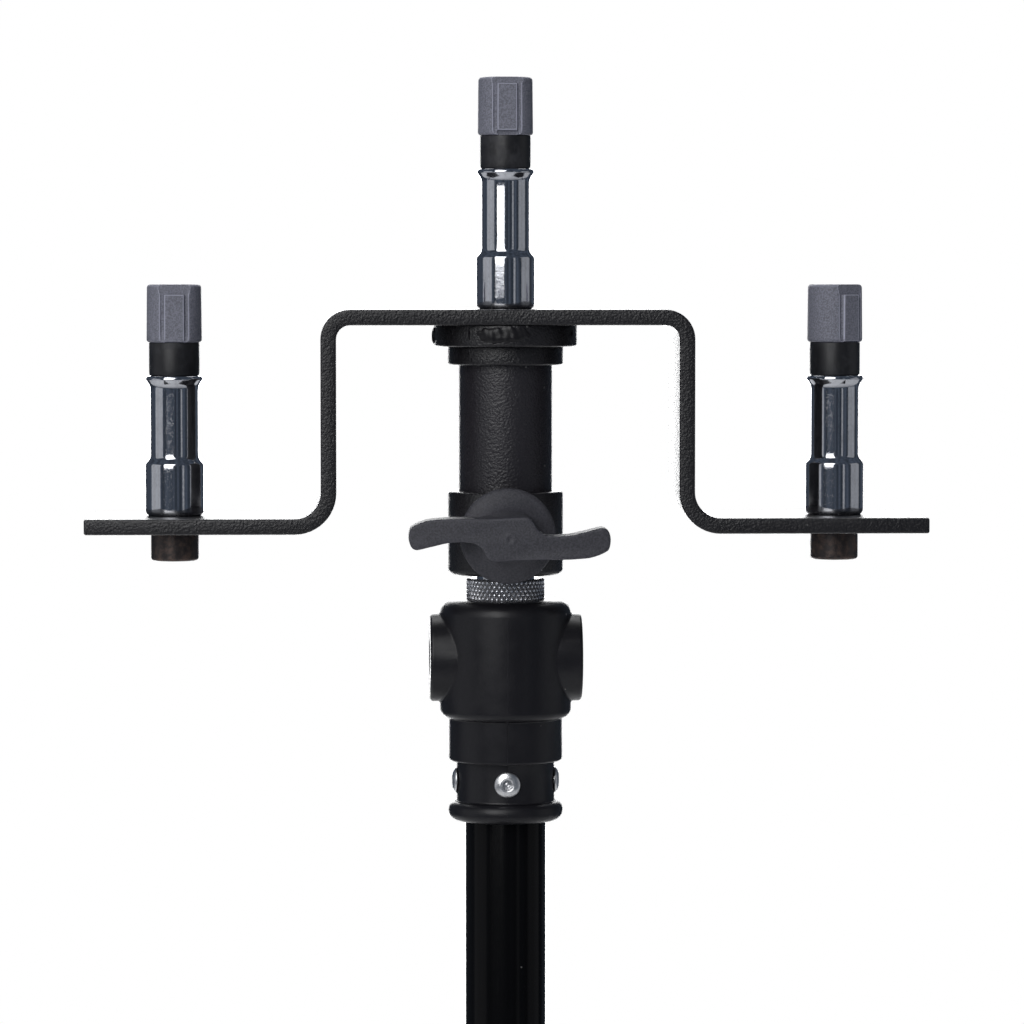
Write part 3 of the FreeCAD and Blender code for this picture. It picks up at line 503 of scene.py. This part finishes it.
def seam(corners, azimuth, rise=0.10, half_width=0.28):
    """A fine raised line along a turned outline, as two halves of a mould leave it."""
    bm = bmesh.new()
    ribs = []
    for out, side in ((rise, 0.0), (-0.2, half_width), (-0.2, -half_width)):
        rib = [bm.verts.new(((r + out) * MM, side * MM, z * MM)) for r, z in corners]
        for pair in zip(rib, rib[1:]):
            bm.edges.new(pair)
        ribs.append(rib)
    for first, second in ((0, 1), (1, 2), (2, 0)):
        for k in range(len(corners) - 1):
            bm.faces.new((ribs[first][k], ribs[first][k + 1], ribs[second][k + 1], ribs[second][k]))
    for end in (0, -1):
        bm.faces.new([rib[end] for rib in ribs])
    bmesh.ops.recalc_face_normals(bm, faces=bm.faces[:])
    return placed(bm, spun(azimuth))


class Maker:
    """What the operators share: they add pieces to the scene and can be undone."""
    bl_options = {"REGISTER", "UNDO"}

    def execute(self, context):
        self.make(context.scene.stand_sizes)
        return {"FINISHED"}


# ---- head ----
class STAND_OT_bracket(Maker, bpy.types.Operator):
    """Bend the flat bar into a hat and round its edges"""
    bl_idname = "stand.bracket"
    bl_label = "Bracket"

    def make(self, sizes):
        low, high = spans("bracket")
        half, bar = sizes.bar / 2, sizes.bar
        leg = sizes.hat_width / 2 - half
        top, bottom = high.z - half, low.z + half
        lower, upper = sizes.lower_bend + half, sizes.upper_bend + half
        line = [(low.x, bottom, 0), (-leg, bottom, lower), (-leg, top, upper), (leg, top, upper),
                (leg, bottom, lower), (high.x, bottom, 0)]
        bm = bmesh.new()
        verts = [bm.verts.new((x * MM, low.y * MM, z * MM)) for x, z, _ in line]
        for pair in zip(verts, verts[1:]):
            bm.edges.new(pair)
        for vert, (_, _, bend) in zip(verts, line):
            if bend:
                bmesh.ops.bevel(bm, geom=[vert], offset=bend * MM, offset_type="ABSOLUTE", segments=12,
                                profile=0.5, affect="VERTICES", material=-1)
        made = bmesh.ops.extrude_edge_only(bm, edges=bm.edges[:])["geom"]
        bmesh.ops.translate(bm, verts=only(bmesh.types.BMVert, made), vec=(0, (high.y - low.y) * MM, 0))
        bm = settled(bm, ("SOLIDIFY", {"thickness": bar * MM, "offset": 0.0, "use_even_offset": True}),
                     ("BEVEL", {"width": sizes.bar_edge * MM, "segments": 4, "limit_method": "ANGLE",
                                "angle_limit": math.radians(60)}))
        keep(bm, "bent_bar", "head", "textured_powder_coat", ("bracket",), sharp=40)


class STAND_OT_receiver(Maker, bpy.types.Operator):
    """Turn the receiver under the bar and lay its weld"""
    bl_idname = "stand.receiver"
    bl_label = "Receiver"

    def make(self, sizes):
        coat = "textured_powder_coat"
        for node, rounds in (("bracket_disk", (0.7, 0.3)), ("sleeve_top_ring", (0.6, 0.3)),
                             ("clamp_ring", (1.6, 0.7))):
            low, high = spans(node)
            inner = 8.1 if node == "bracket_disk" else 12.74
            bm = turned([(inner, low.z), (high.x, low.z, rounds[0]), (high.x, high.z, rounds[1]),
                         (inner, high.z)])
            keep(bm, node.replace("bracket_", "") + "_turned", "head", coat, (node,))
        low, high = spans("sleeve_tube")
        bm = turned([(8.9, low.z), (high.x, low.z, 0.4), (high.x, high.z), (8.05, high.z),
                     (8.05, low.z + 0.8)])
        keep(bm, "receiver_tube", "head", coat, ("sleeve_tube",))
        disk = spans("bracket_disk")[1]
        keep(gathered([self.weld(disk, sizes.weld, *run) for run in (
            (-122.0, -66.0, 1), (-34.0, -14.0, 2), (62.0, 118.0, 3), (160.0, 196.0, 4))]),
            "weld_beads", "head", "smooth_powder_coat", sharp=60)

    def weld(self, disk, size, start, end, seed):
        """A lumpy bead in the corner between the disk and the bar."""
        bm = bmesh.new()
        ring = bmesh.ops.create_circle(bm, segments=20, radius=1.0)["verts"]
        bmesh.ops.scale(bm, verts=ring, vec=(size * 0.46 * MM, size * MM, 1))
        reach, height = disk.x - 0.55, disk.z - size * 1.12
        bmesh.ops.transform(bm, verts=ring, matrix=spun(start) @ shift(reach, 0, height) @ spun(90, "X"))
        steps = int(abs(end - start) / 0.9)
        bmesh.ops.spin(bm, geom=bm.edges[:], cent=(0, 0, 0), axis=(0, 0, 1), dvec=(0, 0, 0),
                       angle=math.radians(end - start), steps=steps, use_merge=False)
        for vert in bm.verts:
            turn = math.degrees(math.atan2(vert.co.y, vert.co.x))
            core = Vector((math.cos(math.radians(turn)), math.sin(math.radians(turn)), 0)) * reach * MM
            core.z = height * MM
            along = min((turn - start) % 360, (end - turn) % 360)
            near = min(1.0, along / 13.0)
            taper = 0.02 + 0.98 * near * near * (3 - 2 * near)
            lump = noise.noise(Vector((turn * 0.13, vert.co.z / MM * 0.45, seed * 9.0)))
            ripple = 0.05 * math.sin(turn * 1.15 + 2.4 * lump + (vert.co.z - core.z) / MM * 0.8)
            vert.co = core + (vert.co - core) * taper * (1.0 + 0.55 * lump + ripple)
        bmesh.ops.holes_fill(bm, edges=bm.edges[:], sides=0)
        bmesh.ops.recalc_face_normals(bm, faces=bm.faces[:])
        return bm


class STAND_OT_pins(Maker, bpy.types.Operator):
    """Turn the pins, their screws and their rubber bushes"""
    bl_idname = "stand.pins"
    bl_label = "Pins"

    def make(self, sizes):
        for side in CAPS:
            low, high = spans(side + "_pin")
            x, z, top, base = (low.x + high.x) / 2, low.z, high.z, (high.x - low.x) / 2
            neck = 6.5
            bm = turned([(4.05, z), (base - 0.8, z, 0.2), (base, z + 0.8, 0.5), (base, z + 14.1, 0.35),
                         (neck + 0.35, z + 15.4, 0.3), (neck, z + 16.1, 0.4), (neck, top - 2.8, 0.9),
                         (base - 0.04, top - 0.9, 0.25), (base - 0.5, top, 0.2), (4.05, top, 0.2)],
                        rows=[z + 3 * k for k in range(1, 12)])
            keep(placed(bm, shift(x)), side + "_pin_turned", "head", "chrome_plate", (side + "_pin",),
                 sharp=40)
            low, high = spans(side + "_rubber_bush")
            radius, height = (high.x - low.x) / 2, high.z - low.z
            bm = turned([(4.3, low.z), (radius - 0.12, low.z, 0.45), (radius, low.z + height * 0.12, 0.8),
                         (radius, high.z, 0.3), (4.3, high.z)])
            keep(placed(bm, shift(x)), side + "_rubber_turned", "head", "black_rubber",
                 (side + "_rubber_bush",))
            refined(side + "_pin_screw", "head", "black_oxide_steel")
            refined(side + "_cap_nut", side + "_cap_nut", "brass")


class STAND_OT_caps(Maker, bpy.types.Operator):
    """Mould the caps, each with two ribs sunk in scoops"""
    bl_idname = "stand.caps"
    bl_label = "Caps"

    def make(self, sizes):
        for side, turn in CAPS.items():
            low, high = spans(side + "_cap")
            x = (spans(side + "_pin")[0].x + spans(side + "_pin")[1].x) / 2
            tall = high.z - low.z
            rib_top = tall - (1.8 if side == "center" else 2.8)
            rows = [0.35 * k for k in range(1, int(tall / 0.35))] + [rib_top - 0.05, rib_top + 0.15]
            bm = turned([(0.0, CAP_CEILING), (CAP_BORE, CAP_CEILING), (CAP_BORE, 0.0), (7.5, 0.0, 0.8),
                         (7.35, tall, 0.9), (0.0, tall)], 180, sorted(rows))
            for vert in bm.verts:
                self.press(vert, rib_top, 1.3 if side == "center" else 0.3, tall)
            bmesh.ops.remove_doubles(bm, verts=bm.verts[:], dist=WELDED)
            keep(placed(bm, shift(x, 0, low.z) @ spun(turn)), side + "_cap_moulded", side + "_cap",
                 "grey_moulded_plastic", (side + "_cap",), sharp=38)

    def press(self, vert, rib_top, notch, tall):
        """Sinks a vertex into the scoop at the front or back of the cap, where a flat rib stands in it."""
        x, y, z = vert.co / MM
        radius = math.hypot(x, y)
        if radius < 5.6 or abs(x) > 4.8 or (z > tall - 0.05 and radius < 6.4):
            return
        above = max(0.0, z - rib_top) / (tall - rib_top)
        scoop = 3.55 + 0.9 * above
        inside = min(1.0, max(0.0, (scoop + 0.45 - abs(x)) / 0.45))
        rib = min(1.0, max(0.0, (2.85 - abs(x)) / 0.28)) * (1.0 if z < rib_top else 0.0)
        flare = 0.6 * (1 - z / 3.0) ** 2 if z < 3.0 else 0.0
        floor = 5.95 - 0.10 * above + flare + (0.95 - flare) * rib
        if z < notch and abs(x) < 2.6:
            floor = 5.95
        depth = math.sqrt(max(0.0, radius ** 2 - x ** 2)) - floor
        vert.co.y -= math.copysign(max(0.0, depth) * inside, y) * MM


def wing_outline():
    """The two wings of a knob seen from the front, as an S: (x, y, rounding) in millimetres."""
    half = [(7.0, -5.4, 2.0), (15.0, -5.6, 4.0), (23.5, -5.0, 4.0), (26.6, -2.9, 2.0), (27.1, 0.8, 2.0),
            (25.6, 3.2, 1.6), (21.0, 2.1, 3.0), (15.5, 0.7, 3.0), (8.4, 1.0, 2.5), (5.2, 6.0, 1.4)]
    return half + [(-x, -y, size) for x, y, size in half]


def wing_knob():
    """A moulded wing knob on its own Z: disc, hub and wings run into one another."""
    body = turned([(0, 0), (12.9, 0, 0.5), (13.0, 1.8, 0.7), (11.9, 2.5, 0.8), (9.2, 3.6, 2.0),
                   (7.2, 6.0, 2.0), (5.5, 13.5, 1.5), (4.6, 16.3, 1.0), (0, 16.5)], 128)
    wings = bmesh.new()
    corners = [wings.verts.new((x * MM, y * MM, 0)) for x, y, _ in wing_outline()]
    wings.faces.new(corners)
    for vert, (_, _, size) in zip(corners, wing_outline()):
        bmesh.ops.bevel(wings, geom=[vert], offset=size * 0.8 * MM, offset_type="ABSOLUTE", segments=5,
                        profile=0.5, affect="VERTICES", material=-1)
    raised = bmesh.ops.extrude_face_region(wings, geom=wings.faces[:])["geom"]
    bmesh.ops.translate(wings, verts=only(bmesh.types.BMVert, raised), vec=(0, 0, 12 * MM))
    bmesh.ops.translate(wings, verts=wings.verts[:], vec=(0, 0, 4.6 * MM))
    for vert in wings.verts:        # the wings are thinner and lie lower towards their tips
        out = min(1.0, abs(vert.co.x) / (27 * MM))
        vert.co.z -= (1.6 * out ** 2 if vert.co.z > 10 * MM else -1.4 * out) * MM
    rims = [e for e in wings.edges if abs(e.verts[0].co.z - e.verts[1].co.z) < 2 * MM
            and len(e.link_faces) == 2 and e.calc_face_angle(0.0) > 1.0]
    bmesh.ops.bevel(wings, geom=rims, offset=1.5 * MM, offset_type="OFFSET", segments=4, profile=0.5,
                    affect="EDGES", material=-1, clamp_overlap=True)
    bm = settled(gathered([body, wings]), ("REMESH", {"mode": "VOXEL", "voxel_size": 0.36 * MM}),
                 ("SMOOTH", {"factor": 0.5, "iterations": 9}))
    for vert in bm.verts:           # the dimple that the mould's gate leaves in the hub
        reach = math.hypot(vert.co.x, vert.co.y) / MM
        if vert.co.z > 14.5 * MM and reach < 2.4:
            pit = 0.42 * math.exp(-(reach / 0.5) ** 2)
            rim = 0.14 * math.exp(-((reach - 1.3) / 0.4) ** 2)
            vert.co.z -= (pit - rim) * MM
    return bm


class STAND_OT_wing_knobs(Maker, bpy.types.Operator):
    """Mould the wing knobs and cut their screws"""
    bl_idname = "stand.wing_knobs"
    bl_label = "Wing knobs"

    def make(self, sizes):
        moulded_knob = wing_knob()
        for name in CLAMPS:
            low, high = spans(name + "_knob")
            back, height = -high.y, (low.z + high.z) / 2
            at = facing(FRONT, back, height)
            keep(placed(moulded_knob.copy(), at), name + "_knob_moulded", name + "_knob",
                 "dark_moulded_plastic", (name + "_knob",), sharp=60)
            low, high = spans(name + "_screw")
            at = facing(FRONT, -high.y, (low.z + high.z) / 2)
            keep(placed(self.screw(high.y - low.y, sizes.thread_pitch), at), name + "_screw_cut",
                 name + "_screw", "zinc_steel", (name + "_screw",), sharp=35)
        moulded_knob.free()

    def screw(self, length, pitch):
        """A screw with a real helix and a turned-down tip."""
        root, crest, start = 3.35, 4.0, 3.2
        core = turned([(0, 0), (3.0, 0, 0.4), (3.0, 2.2, 0.3), (root, 2.8), (root, length, 0.3),
                       (0, length)], 48)
        thread = bmesh.new()
        ridge = [thread.verts.new((r * MM, 0, (start + z) * MM)) for r, z in (
            (root - 0.2, -0.50), (crest, -0.08), (crest, 0.08), (root - 0.2, 0.50))]
        thread.faces.new(ridge)
        turns, steps = (length - start - 1.4) / pitch, 40
        count = int(turns * steps)
        bmesh.ops.spin(thread, geom=thread.faces[:], cent=(0, 0, 0), axis=(0, 0, 1),
                       angle=math.tau * count / steps, dvec=(0, 0, pitch / steps * MM), steps=count,
                       use_merge=False)
        bmesh.ops.recalc_face_normals(thread, faces=thread.faces[:])
        return gathered([core, thread])


# ---- spigot, castings and rivets ----
class STAND_OT_spigot(Maker, bpy.types.Operator):
    """Turn and knurl the spigot"""
    bl_idname = "stand.spigot"
    bl_label = "Spigot"

    def make(self, sizes):
        low, high = spans("stand_spigot")
        knurl = high.x
        cast_top = spans("top_casting")[1].z
        knurl_top = high.z - 39.0
        grip = spans("head_clamp_screw")
        clamp = (grip[0].z + grip[1].z) / 2
        core, waist = knurl - 0.4, 6.5
        bm = turned([(0, low.z), (core, low.z, 0.6), (core, cast_top - 1.0), (core, knurl_top - 0.4),
                     (knurl - 0.9, knurl_top, 0.2), (BABY_PIN, knurl_top), (BABY_PIN, clamp - 6.5, 0.2),
                     (waist, clamp - 5, 0.6), (waist, clamp + 7.5, 0.6), (BABY_PIN, clamp + 9.2, 0.3),
                     (BABY_PIN, high.z, 1.2), (0, high.z)])
        keep(bm, "spigot_turned", "top_riser", "chrome_plate", ("stand_spigot",))
        self.knurl(sizes, knurl, cast_top - 0.8, knurl_top)

    def knurl(self, sizes, radius, low, high):
        """A sleeve of crossed helical grooves round the foot of the spigot."""
        teeth = round(math.tau * radius / sizes.knurl_pitch)
        chamfer, depth = 0.45, sizes.knurl_depth
        rows = [low + 0.14 * k for k in range(1, int((high - low) / 0.14))]
        inner = radius - 1.2
        bm = turned([(inner, low), (radius, low), (radius, high - chamfer, 0.1), (radius - chamfer, high),
                     (inner, high)], teeth * 8, rows)

        def groove(co):
            """0 on the diamonds and 1 along the grooves."""
            turn = math.atan2(co.y, co.x) * teeth / math.tau
            lean = (co.z - low) / sizes.knurl_pitch * 0.62
            first, second = (abs((turn + s * lean) % 1.0 - 0.5) * 2 for s in (1, -1))
            return max(0.0, max(first, second) * 1.6 - 0.6)

        for vert in bm.verts:
            co = vert.co / MM
            out = math.hypot(co.x, co.y)
            if out > radius - 0.5:
                cut = groove(co) * depth * (1.0 if co.z < high - chamfer else 0.4)
                vert.co.x *= (out - cut) / out
                vert.co.y *= (out - cut) / out
        keep(bm, "spigot_knurl", "top_riser", "knurled_steel", sharp=25, groove=groove)


def rivet():
    """A blind rivet on its own Z, with the snapped mandrel in its hole."""
    shell = turned([(0, -4.0), (1.95, -4.0), (1.95, 0), (3.55, 0, 0.12), (3.5, 0.42, 0.3), (2.5, 1.05, 0.5),
                    (1.8, 1.25, 0.25), (1.4, 1.0, 0.2), (1.3, -1.6), (0, -1.6)], 48)
    mandrel = turned([(0, -2.0), (0.75, -2.0), (0.75, -0.6, 0.2), (0, -0.4)], 24)
    return gathered([shell, mandrel])


class STAND_OT_castings(Maker, bpy.types.Operator):
    """Finish the top casting, the riser collars and the lock ring, and set their rivets"""
    bl_idname = "stand.castings"
    bl_label = "Castings"

    def make(self, sizes):
        for node, body, tube in (("top_casting", "top_riser", 11.0),
                                 ("middle_collar", "middle_riser", 14.0),
                                 ("base_collar", "column", 17.5)):
            z = spans(node)[0].z
            step, shoulder, bead = tube + 2.35, tube + 4.5, tube + 4.65
            rivets = node + "_rivets"
            low, high = spans(rivets)
            height = (low.z + high.z) / 2
            below = [(bead - 1.6, z + 0.2), (bead, z + 2.3), (bead, z + 3.3), (bead - 1.8, z + 5.2),
                     (step, z + 5.5), (step, height - 2.6)]
            above = [(step, height + 2.6), (step, z + 16.2), (shoulder - 0.5, z + 16.3),
                     (shoulder, z + 17.1), (shoulder, z + 27.6), (tube + 5.3, z + 28.0),
                     (tube + 6.5, z + 29.4), (tube + 6.9, z + 31.0)]
            if node == "top_casting":
                above += [(17.9, z + 56.0), (17.0, z + 58.6), (15.6, z + 60.0), (13.4, z + 60.45)]
            sides = (FRONT, BACK) if node == "top_casting" else (BACK,)
            seams = [seam(run, a) for a in sides for run in (below, above)]
            refined(node, body, "satin_black_paint", extra=seams)
            keep(gathered([placed(rivet(), facing(a, step, height)) for a in (FRONT, RIGHT, BACK, LEFT)]),
                 rivets + "_set", body, "rivet_aluminium", (rivets,))
        refined("leg_lock_ring", "leg_lock", "satin_black_paint")


# ---- tubes ----
class STAND_OT_tubes(Maker, bpy.types.Operator):
    """Draw the column and riser tubes"""
    bl_idname = "stand.tubes"
    bl_label = "Tubes"

    def make(self, sizes):
        for node, body, wall in (("base_column", "column", 1.8), ("middle_riser_tube", "middle_riser", 1.6),
                                 ("top_riser_tube", "top_riser", 1.5)):
            low, high = spans(node)
            bm = turned([(high.x - wall, low.z, 0.2), (high.x, low.z, 0.4), (high.x, high.z, 0.4),
                         (high.x - wall, high.z, 0.2)])
            keep(bm, node.replace("_tube", "") + "_drawn", body, "gloss_black_paint", (node,))
        for node, body in (("column_bottom_plug", "column"), ("middle_riser_guide", "middle_riser"),
                           ("top_riser_guide", "top_riser")):
            refined(node, body, "dark_moulded_plastic")
        for node, body in (("base_collar_bush", "column"), ("middle_collar_bush", "middle_riser"),
                           ("hub_washers", "column")):
            refined(node, body, "nylon")


# ---- legs ----
def leg_route(hub_height):
    """The centre line of a leg along +X, and how steeply it falls to its foot."""
    drop_start, knee, slope, reach = 84.0, 38.0, math.tan(math.radians(52.0)), 440.0
    knee_x = drop_start + (hub_height - knee) / slope
    low, high = 0.0, knee
    for _ in range(40):
        end = (low + high) / 2
        fall = math.atan2(knee - end, reach - knee_x)
        lowest = end + 2.6 * math.sin(fall) - 10.0 * math.cos(fall) - 5.0
        low, high = (end, high) if lowest < -0.8 else (low, end)
    return [(31.0, hub_height), (drop_start, hub_height), (knee_x, knee), (reach, end)], fall


def bent_tube(route, bend, radius, wall):
    """A round tube along a route in the XZ plane, with bends of a centre-line radius."""
    points = [Vector((x, 0, z)) * MM for x, z in route]
    bm = bmesh.new()
    bmesh.ops.create_circle(bm, segments=56, radius=radius * MM)
    bmesh.ops.transform(bm, verts=bm.verts[:], matrix=Matrix.Translation(points[0]) @ spun(90, "Y"))
    loop = bm.edges[:]
    at = points[0]

    def carry(target, steps):
        """Runs the tube straight on to a point."""
        nonlocal loop, at
        for _ in range(steps):
            made = bmesh.ops.extrude_edge_only(bm, edges=loop)["geom"]
            verts = only(bmesh.types.BMVert, made)
            loop = [e for e in only(bmesh.types.BMEdge, made) if all(v in verts for v in e.verts)]
            bmesh.ops.translate(bm, verts=verts, vec=(target - at) / steps)
        at = target

    for before, here, after in zip(points, points[1:], points[2:]):
        into, out = (here - before).normalized(), (after - here).normalized()
        angle = into.angle(out)
        cut = bend * MM * math.tan(angle / 2)
        carry(here - into * cut, 3)
        axis = into.cross(out).normalized()
        centre = at + axis.cross(into) * bend * MM
        made = bmesh.ops.spin(bm, geom=loop, cent=centre, axis=axis, dvec=(0, 0, 0), angle=angle, steps=14,
                              use_merge=False)["geom_last"]
        loop = only(bmesh.types.BMEdge, made)
        at = here + out * cut
    carry(points[-1], 8)
    bmesh.ops.recalc_face_normals(bm, faces=bm.faces[:])
    return settled(bm, ("SOLIDIFY", {"thickness": wall * MM, "offset": -1.0}))


class STAND_OT_legs(Maker, bpy.types.Operator):
    """Bend the legs and fit their hubs, rivets and feet"""
    bl_idname = "stand.legs"
    bl_label = "Legs"

    def make(self, sizes):
        for name, azimuth in LEGS.items():
            body = "column" if name == "short" else name + "_leg"
            low, high = spans(name + "_leg_hub")
            hub = (low.z + high.z) / 2
            route, fall = leg_route(hub)
            outward = spun(azimuth)
            tube = bent_tube(route, LEG_BEND, LEG_TUBE, LEG_WALL)
            keep(placed(tube, outward), name + "_leg_bent", body, "gloss_black_paint",
                 (name + "_leg_tube",))
            end_x, end_z = route[-1]
            foot = placed(self.foot(), shift(end_x, 0, end_z) @ spun(90 + math.degrees(fall), "Y"))
            cut = bmesh.ops.bisect_plane(foot, geom=foot.verts[:] + foot.edges[:] + foot.faces[:],
                                         plane_co=(0, 0, 0), plane_no=(0, 0, 1), clear_inner=True,
                                         dist=1e-8)
            bmesh.ops.contextual_create(foot, geom=only(bmesh.types.BMEdge, cut["geom_cut"]))
            keep(placed(foot, outward), name + "_leg_boot", body, "black_rubber",
                 (name + "_leg_foot",), sharp=40)
            refined(name + "_leg_hub", body, "satin_black_paint")
            spots = [shift(48.0, 0, hub + 16.0), shift(48.0, 0, hub - 16.0) @ spun(180, "X")]
            rivets = gathered([placed(rivet(), outward @ spot) for spot in spots])
            keep(rivets, name + "_leg_rivets_set", body, "rivet_aluminium", (name + "_leg_rivets",))

    def foot(self):
        """A rubber boot on its own Z, with grip rings round it."""
        rings = []
        for k in range(4):
            z = -8.0 - 4.2 * k
            rings += [(15.0, z + 1.0, 0.3), (14.3, z + 0.6, 0.3), (14.3, z - 0.6, 0.3),
                      (15.0, z - 1.0, 0.3)]
        return turned([(0, 2.4), (10.0, 2.4, 1.0), (13.4, 0.9, 1.6), (15.0, -2.6, 1.6), *rings,
                       (15.0, -31.0, 0.6), (14.0, -34.0, 0.6), (12.53, -34.0), (12.53, 0.05),
                       (0, 0.05)])


# ---- studio ----
class STAND_OT_studio(Maker, bpy.types.Operator):
    """Lay the floor, hang the lights and set the camera"""
    bl_idname = "stand.studio"
    bl_label = "Studio"

    def make(self, sizes):
        scene = bpy.context.scene
        f = Finish("pale floor")
        tone = f.blend(f.noise(180.0, 3.0), (0.86, 0.86, 0.86, 1), (0.92, 0.92, 0.92, 1))
        f.done(Base_Color=tone, Roughness=0.6 + 0.1 * f.noise(60.0))
        bm = bmesh.new()
        bmesh.ops.create_circle(bm, cap_ends=True, segments=96, radius=2.4)
        mesh = bpy.data.meshes.new("floor")
        bm.to_mesh(mesh)
        bm.free()
        floor = bpy.data.objects.new("floor", mesh)
        scene.collection.objects.link(floor)
        mesh.materials.append(f.material)
        self.surroundings(scene)
        head = spans("bracket")[1].z * MM
        for name, azimuth, elevation, distance, size, power in (
                ("key", -25, 27.6, 1.7, (1.2, 1.73), 19.0),
                ("left_card", -80, 4, 2.0, (1.6, 2.0), 3.6),
                ("right_card", 86, 4, 2.0, (1.6, 2.0), 2.4),
                ("right_strip", 34, 2, 2.2, (0.28, 1.6), 0.40),
                ("backdrop", 180, 2, 2.8, (1.5, 2.4), 75.0),
                ("overhead", 180, 58, 2.0, (2.0, 1.0), 16.0)):
            self.light(scene, name, azimuth, elevation, distance, size, power, head)
        self.camera(scene, head)

    def surroundings(self, scene):
        """A dim, uneven room that the camera sees as white."""
        world = bpy.data.worlds.new("studio")
        world.use_nodes = True
        nodes, links = world.node_tree.nodes, world.node_tree.links
        nodes.clear()
        output = nodes.new("ShaderNodeOutputWorld")
        seen = nodes.new("ShaderNodeBackground")
        room = nodes.new("ShaderNodeBackground")
        mix = nodes.new("ShaderNodeMixShader")
        ray = nodes.new("ShaderNodeLightPath")
        seen.inputs["Color"].default_value = (1, 1, 1, 1)
        seen.inputs["Strength"].default_value = 1.0
        place = nodes.new("ShaderNodeTexCoord")
        squeeze = nodes.new("ShaderNodeMapping")
        clutter = nodes.new("ShaderNodeTexNoise")
        level = nodes.new("ShaderNodeMapRange")
        squeeze.inputs["Scale"].default_value = (1, 1, 0.25)
        clutter.inputs["Scale"].default_value = 5.0
        clutter.inputs["Detail"].default_value = 3.0
        for key, value in (("From Min", 0.35), ("From Max", 0.65), ("To Min", 0.045), ("To Max", 0.125)):
            level.inputs[key].default_value = value
        links.new(place.outputs["Generated"], squeeze.inputs["Vector"])
        links.new(squeeze.outputs[0], clutter.inputs["Vector"])
        links.new(clutter.outputs[0], level.inputs["Value"])
        links.new(level.outputs[0], room.inputs["Strength"])
        room.inputs["Color"].default_value = (0.62, 0.76, 1.0, 1)
        links.new(ray.outputs["Is Camera Ray"], mix.inputs[0])
        links.new(room.outputs[0], mix.inputs[1])
        links.new(seen.outputs[0], mix.inputs[2])
        links.new(mix.outputs[0], output.inputs["Surface"])
        scene.world = world

    def light(self, scene, name, azimuth, elevation, distance, size, power, height):
        """A soft box that looks at the head. Azimuth 0 is the front, and it grows to the right."""
        lamp = bpy.data.lights.new(name, "AREA")
        lamp.shape = "RECTANGLE"
        lamp.size, lamp.size_y = size
        lamp.energy = power
        box = bpy.data.objects.new(name, lamp)
        a, e = math.radians(azimuth), math.radians(elevation)
        out = Vector((math.sin(a) * math.cos(e), -math.cos(a) * math.cos(e), math.sin(e)))
        box.location = out * distance + Vector((0, 0, height))
        box.rotation_euler = out.to_track_quat("Z", "Y").to_euler()
        box.visible_camera = False
        scene.collection.objects.link(box)

    def camera(self, scene, head):
        """A long lens a little above the bar, looking slightly down and to the right."""
        lens = bpy.data.cameras.new("camera")
        lens.lens, lens.sensor_width = 156.6, 36.0
        lens.clip_start, lens.clip_end = 0.05, 60.0
        seat = bpy.data.objects.new("camera", lens)
        seat.location = (-0.0465, -1.2130, head + 0.0104)
        seat.rotation_euler = (math.radians(90 - 3.10), 0, math.radians(-2.28))
        scene.collection.objects.link(seat)
        scene.camera = seat
        scene.view_settings.view_transform = "Standard"


class STAND_PT_pieces(bpy.types.Panel):
    bl_label = "C-Stand"
    bl_idname = "STAND_PT_pieces"
    bl_space_type = "VIEW_3D"
    bl_region_type = "UI"
    bl_category = "Stand"

    def draw(self, context):
        for group in (context.scene.stand_sizes, context.scene.stand_colours):
            for key in group.__annotations__:
                self.layout.prop(group, key)
        for maker in MAKERS:
            self.layout.operator(maker.bl_idname)


MAKERS = (STAND_OT_studio, STAND_OT_bracket, STAND_OT_receiver, STAND_OT_pins, STAND_OT_caps,
          STAND_OT_wing_knobs, STAND_OT_spigot, STAND_OT_castings, STAND_OT_tubes, STAND_OT_legs)
CLASSES = (StandSizes, StandColours, *MAKERS, STAND_PT_pieces)


def register():
    for cls in CLASSES:
        bpy.utils.register_class(cls)
    bpy.types.Scene.stand_sizes = bpy.props.PointerProperty(type=StandSizes)
    bpy.types.Scene.stand_colours = bpy.props.PointerProperty(type=StandColours)


def unregister():
    del bpy.types.Scene.stand_colours
    del bpy.types.Scene.stand_sizes
    for cls in reversed(CLASSES):
        bpy.utils.unregister_class(cls)


def main():
    register()
    mix_finishes(bpy.context.scene.stand_colours)
    for maker in MAKERS:
        group, name = maker.bl_idname.split(".")
        getattr(getattr(bpy.ops, group), name)()


if __name__ == "__main__":
    main()
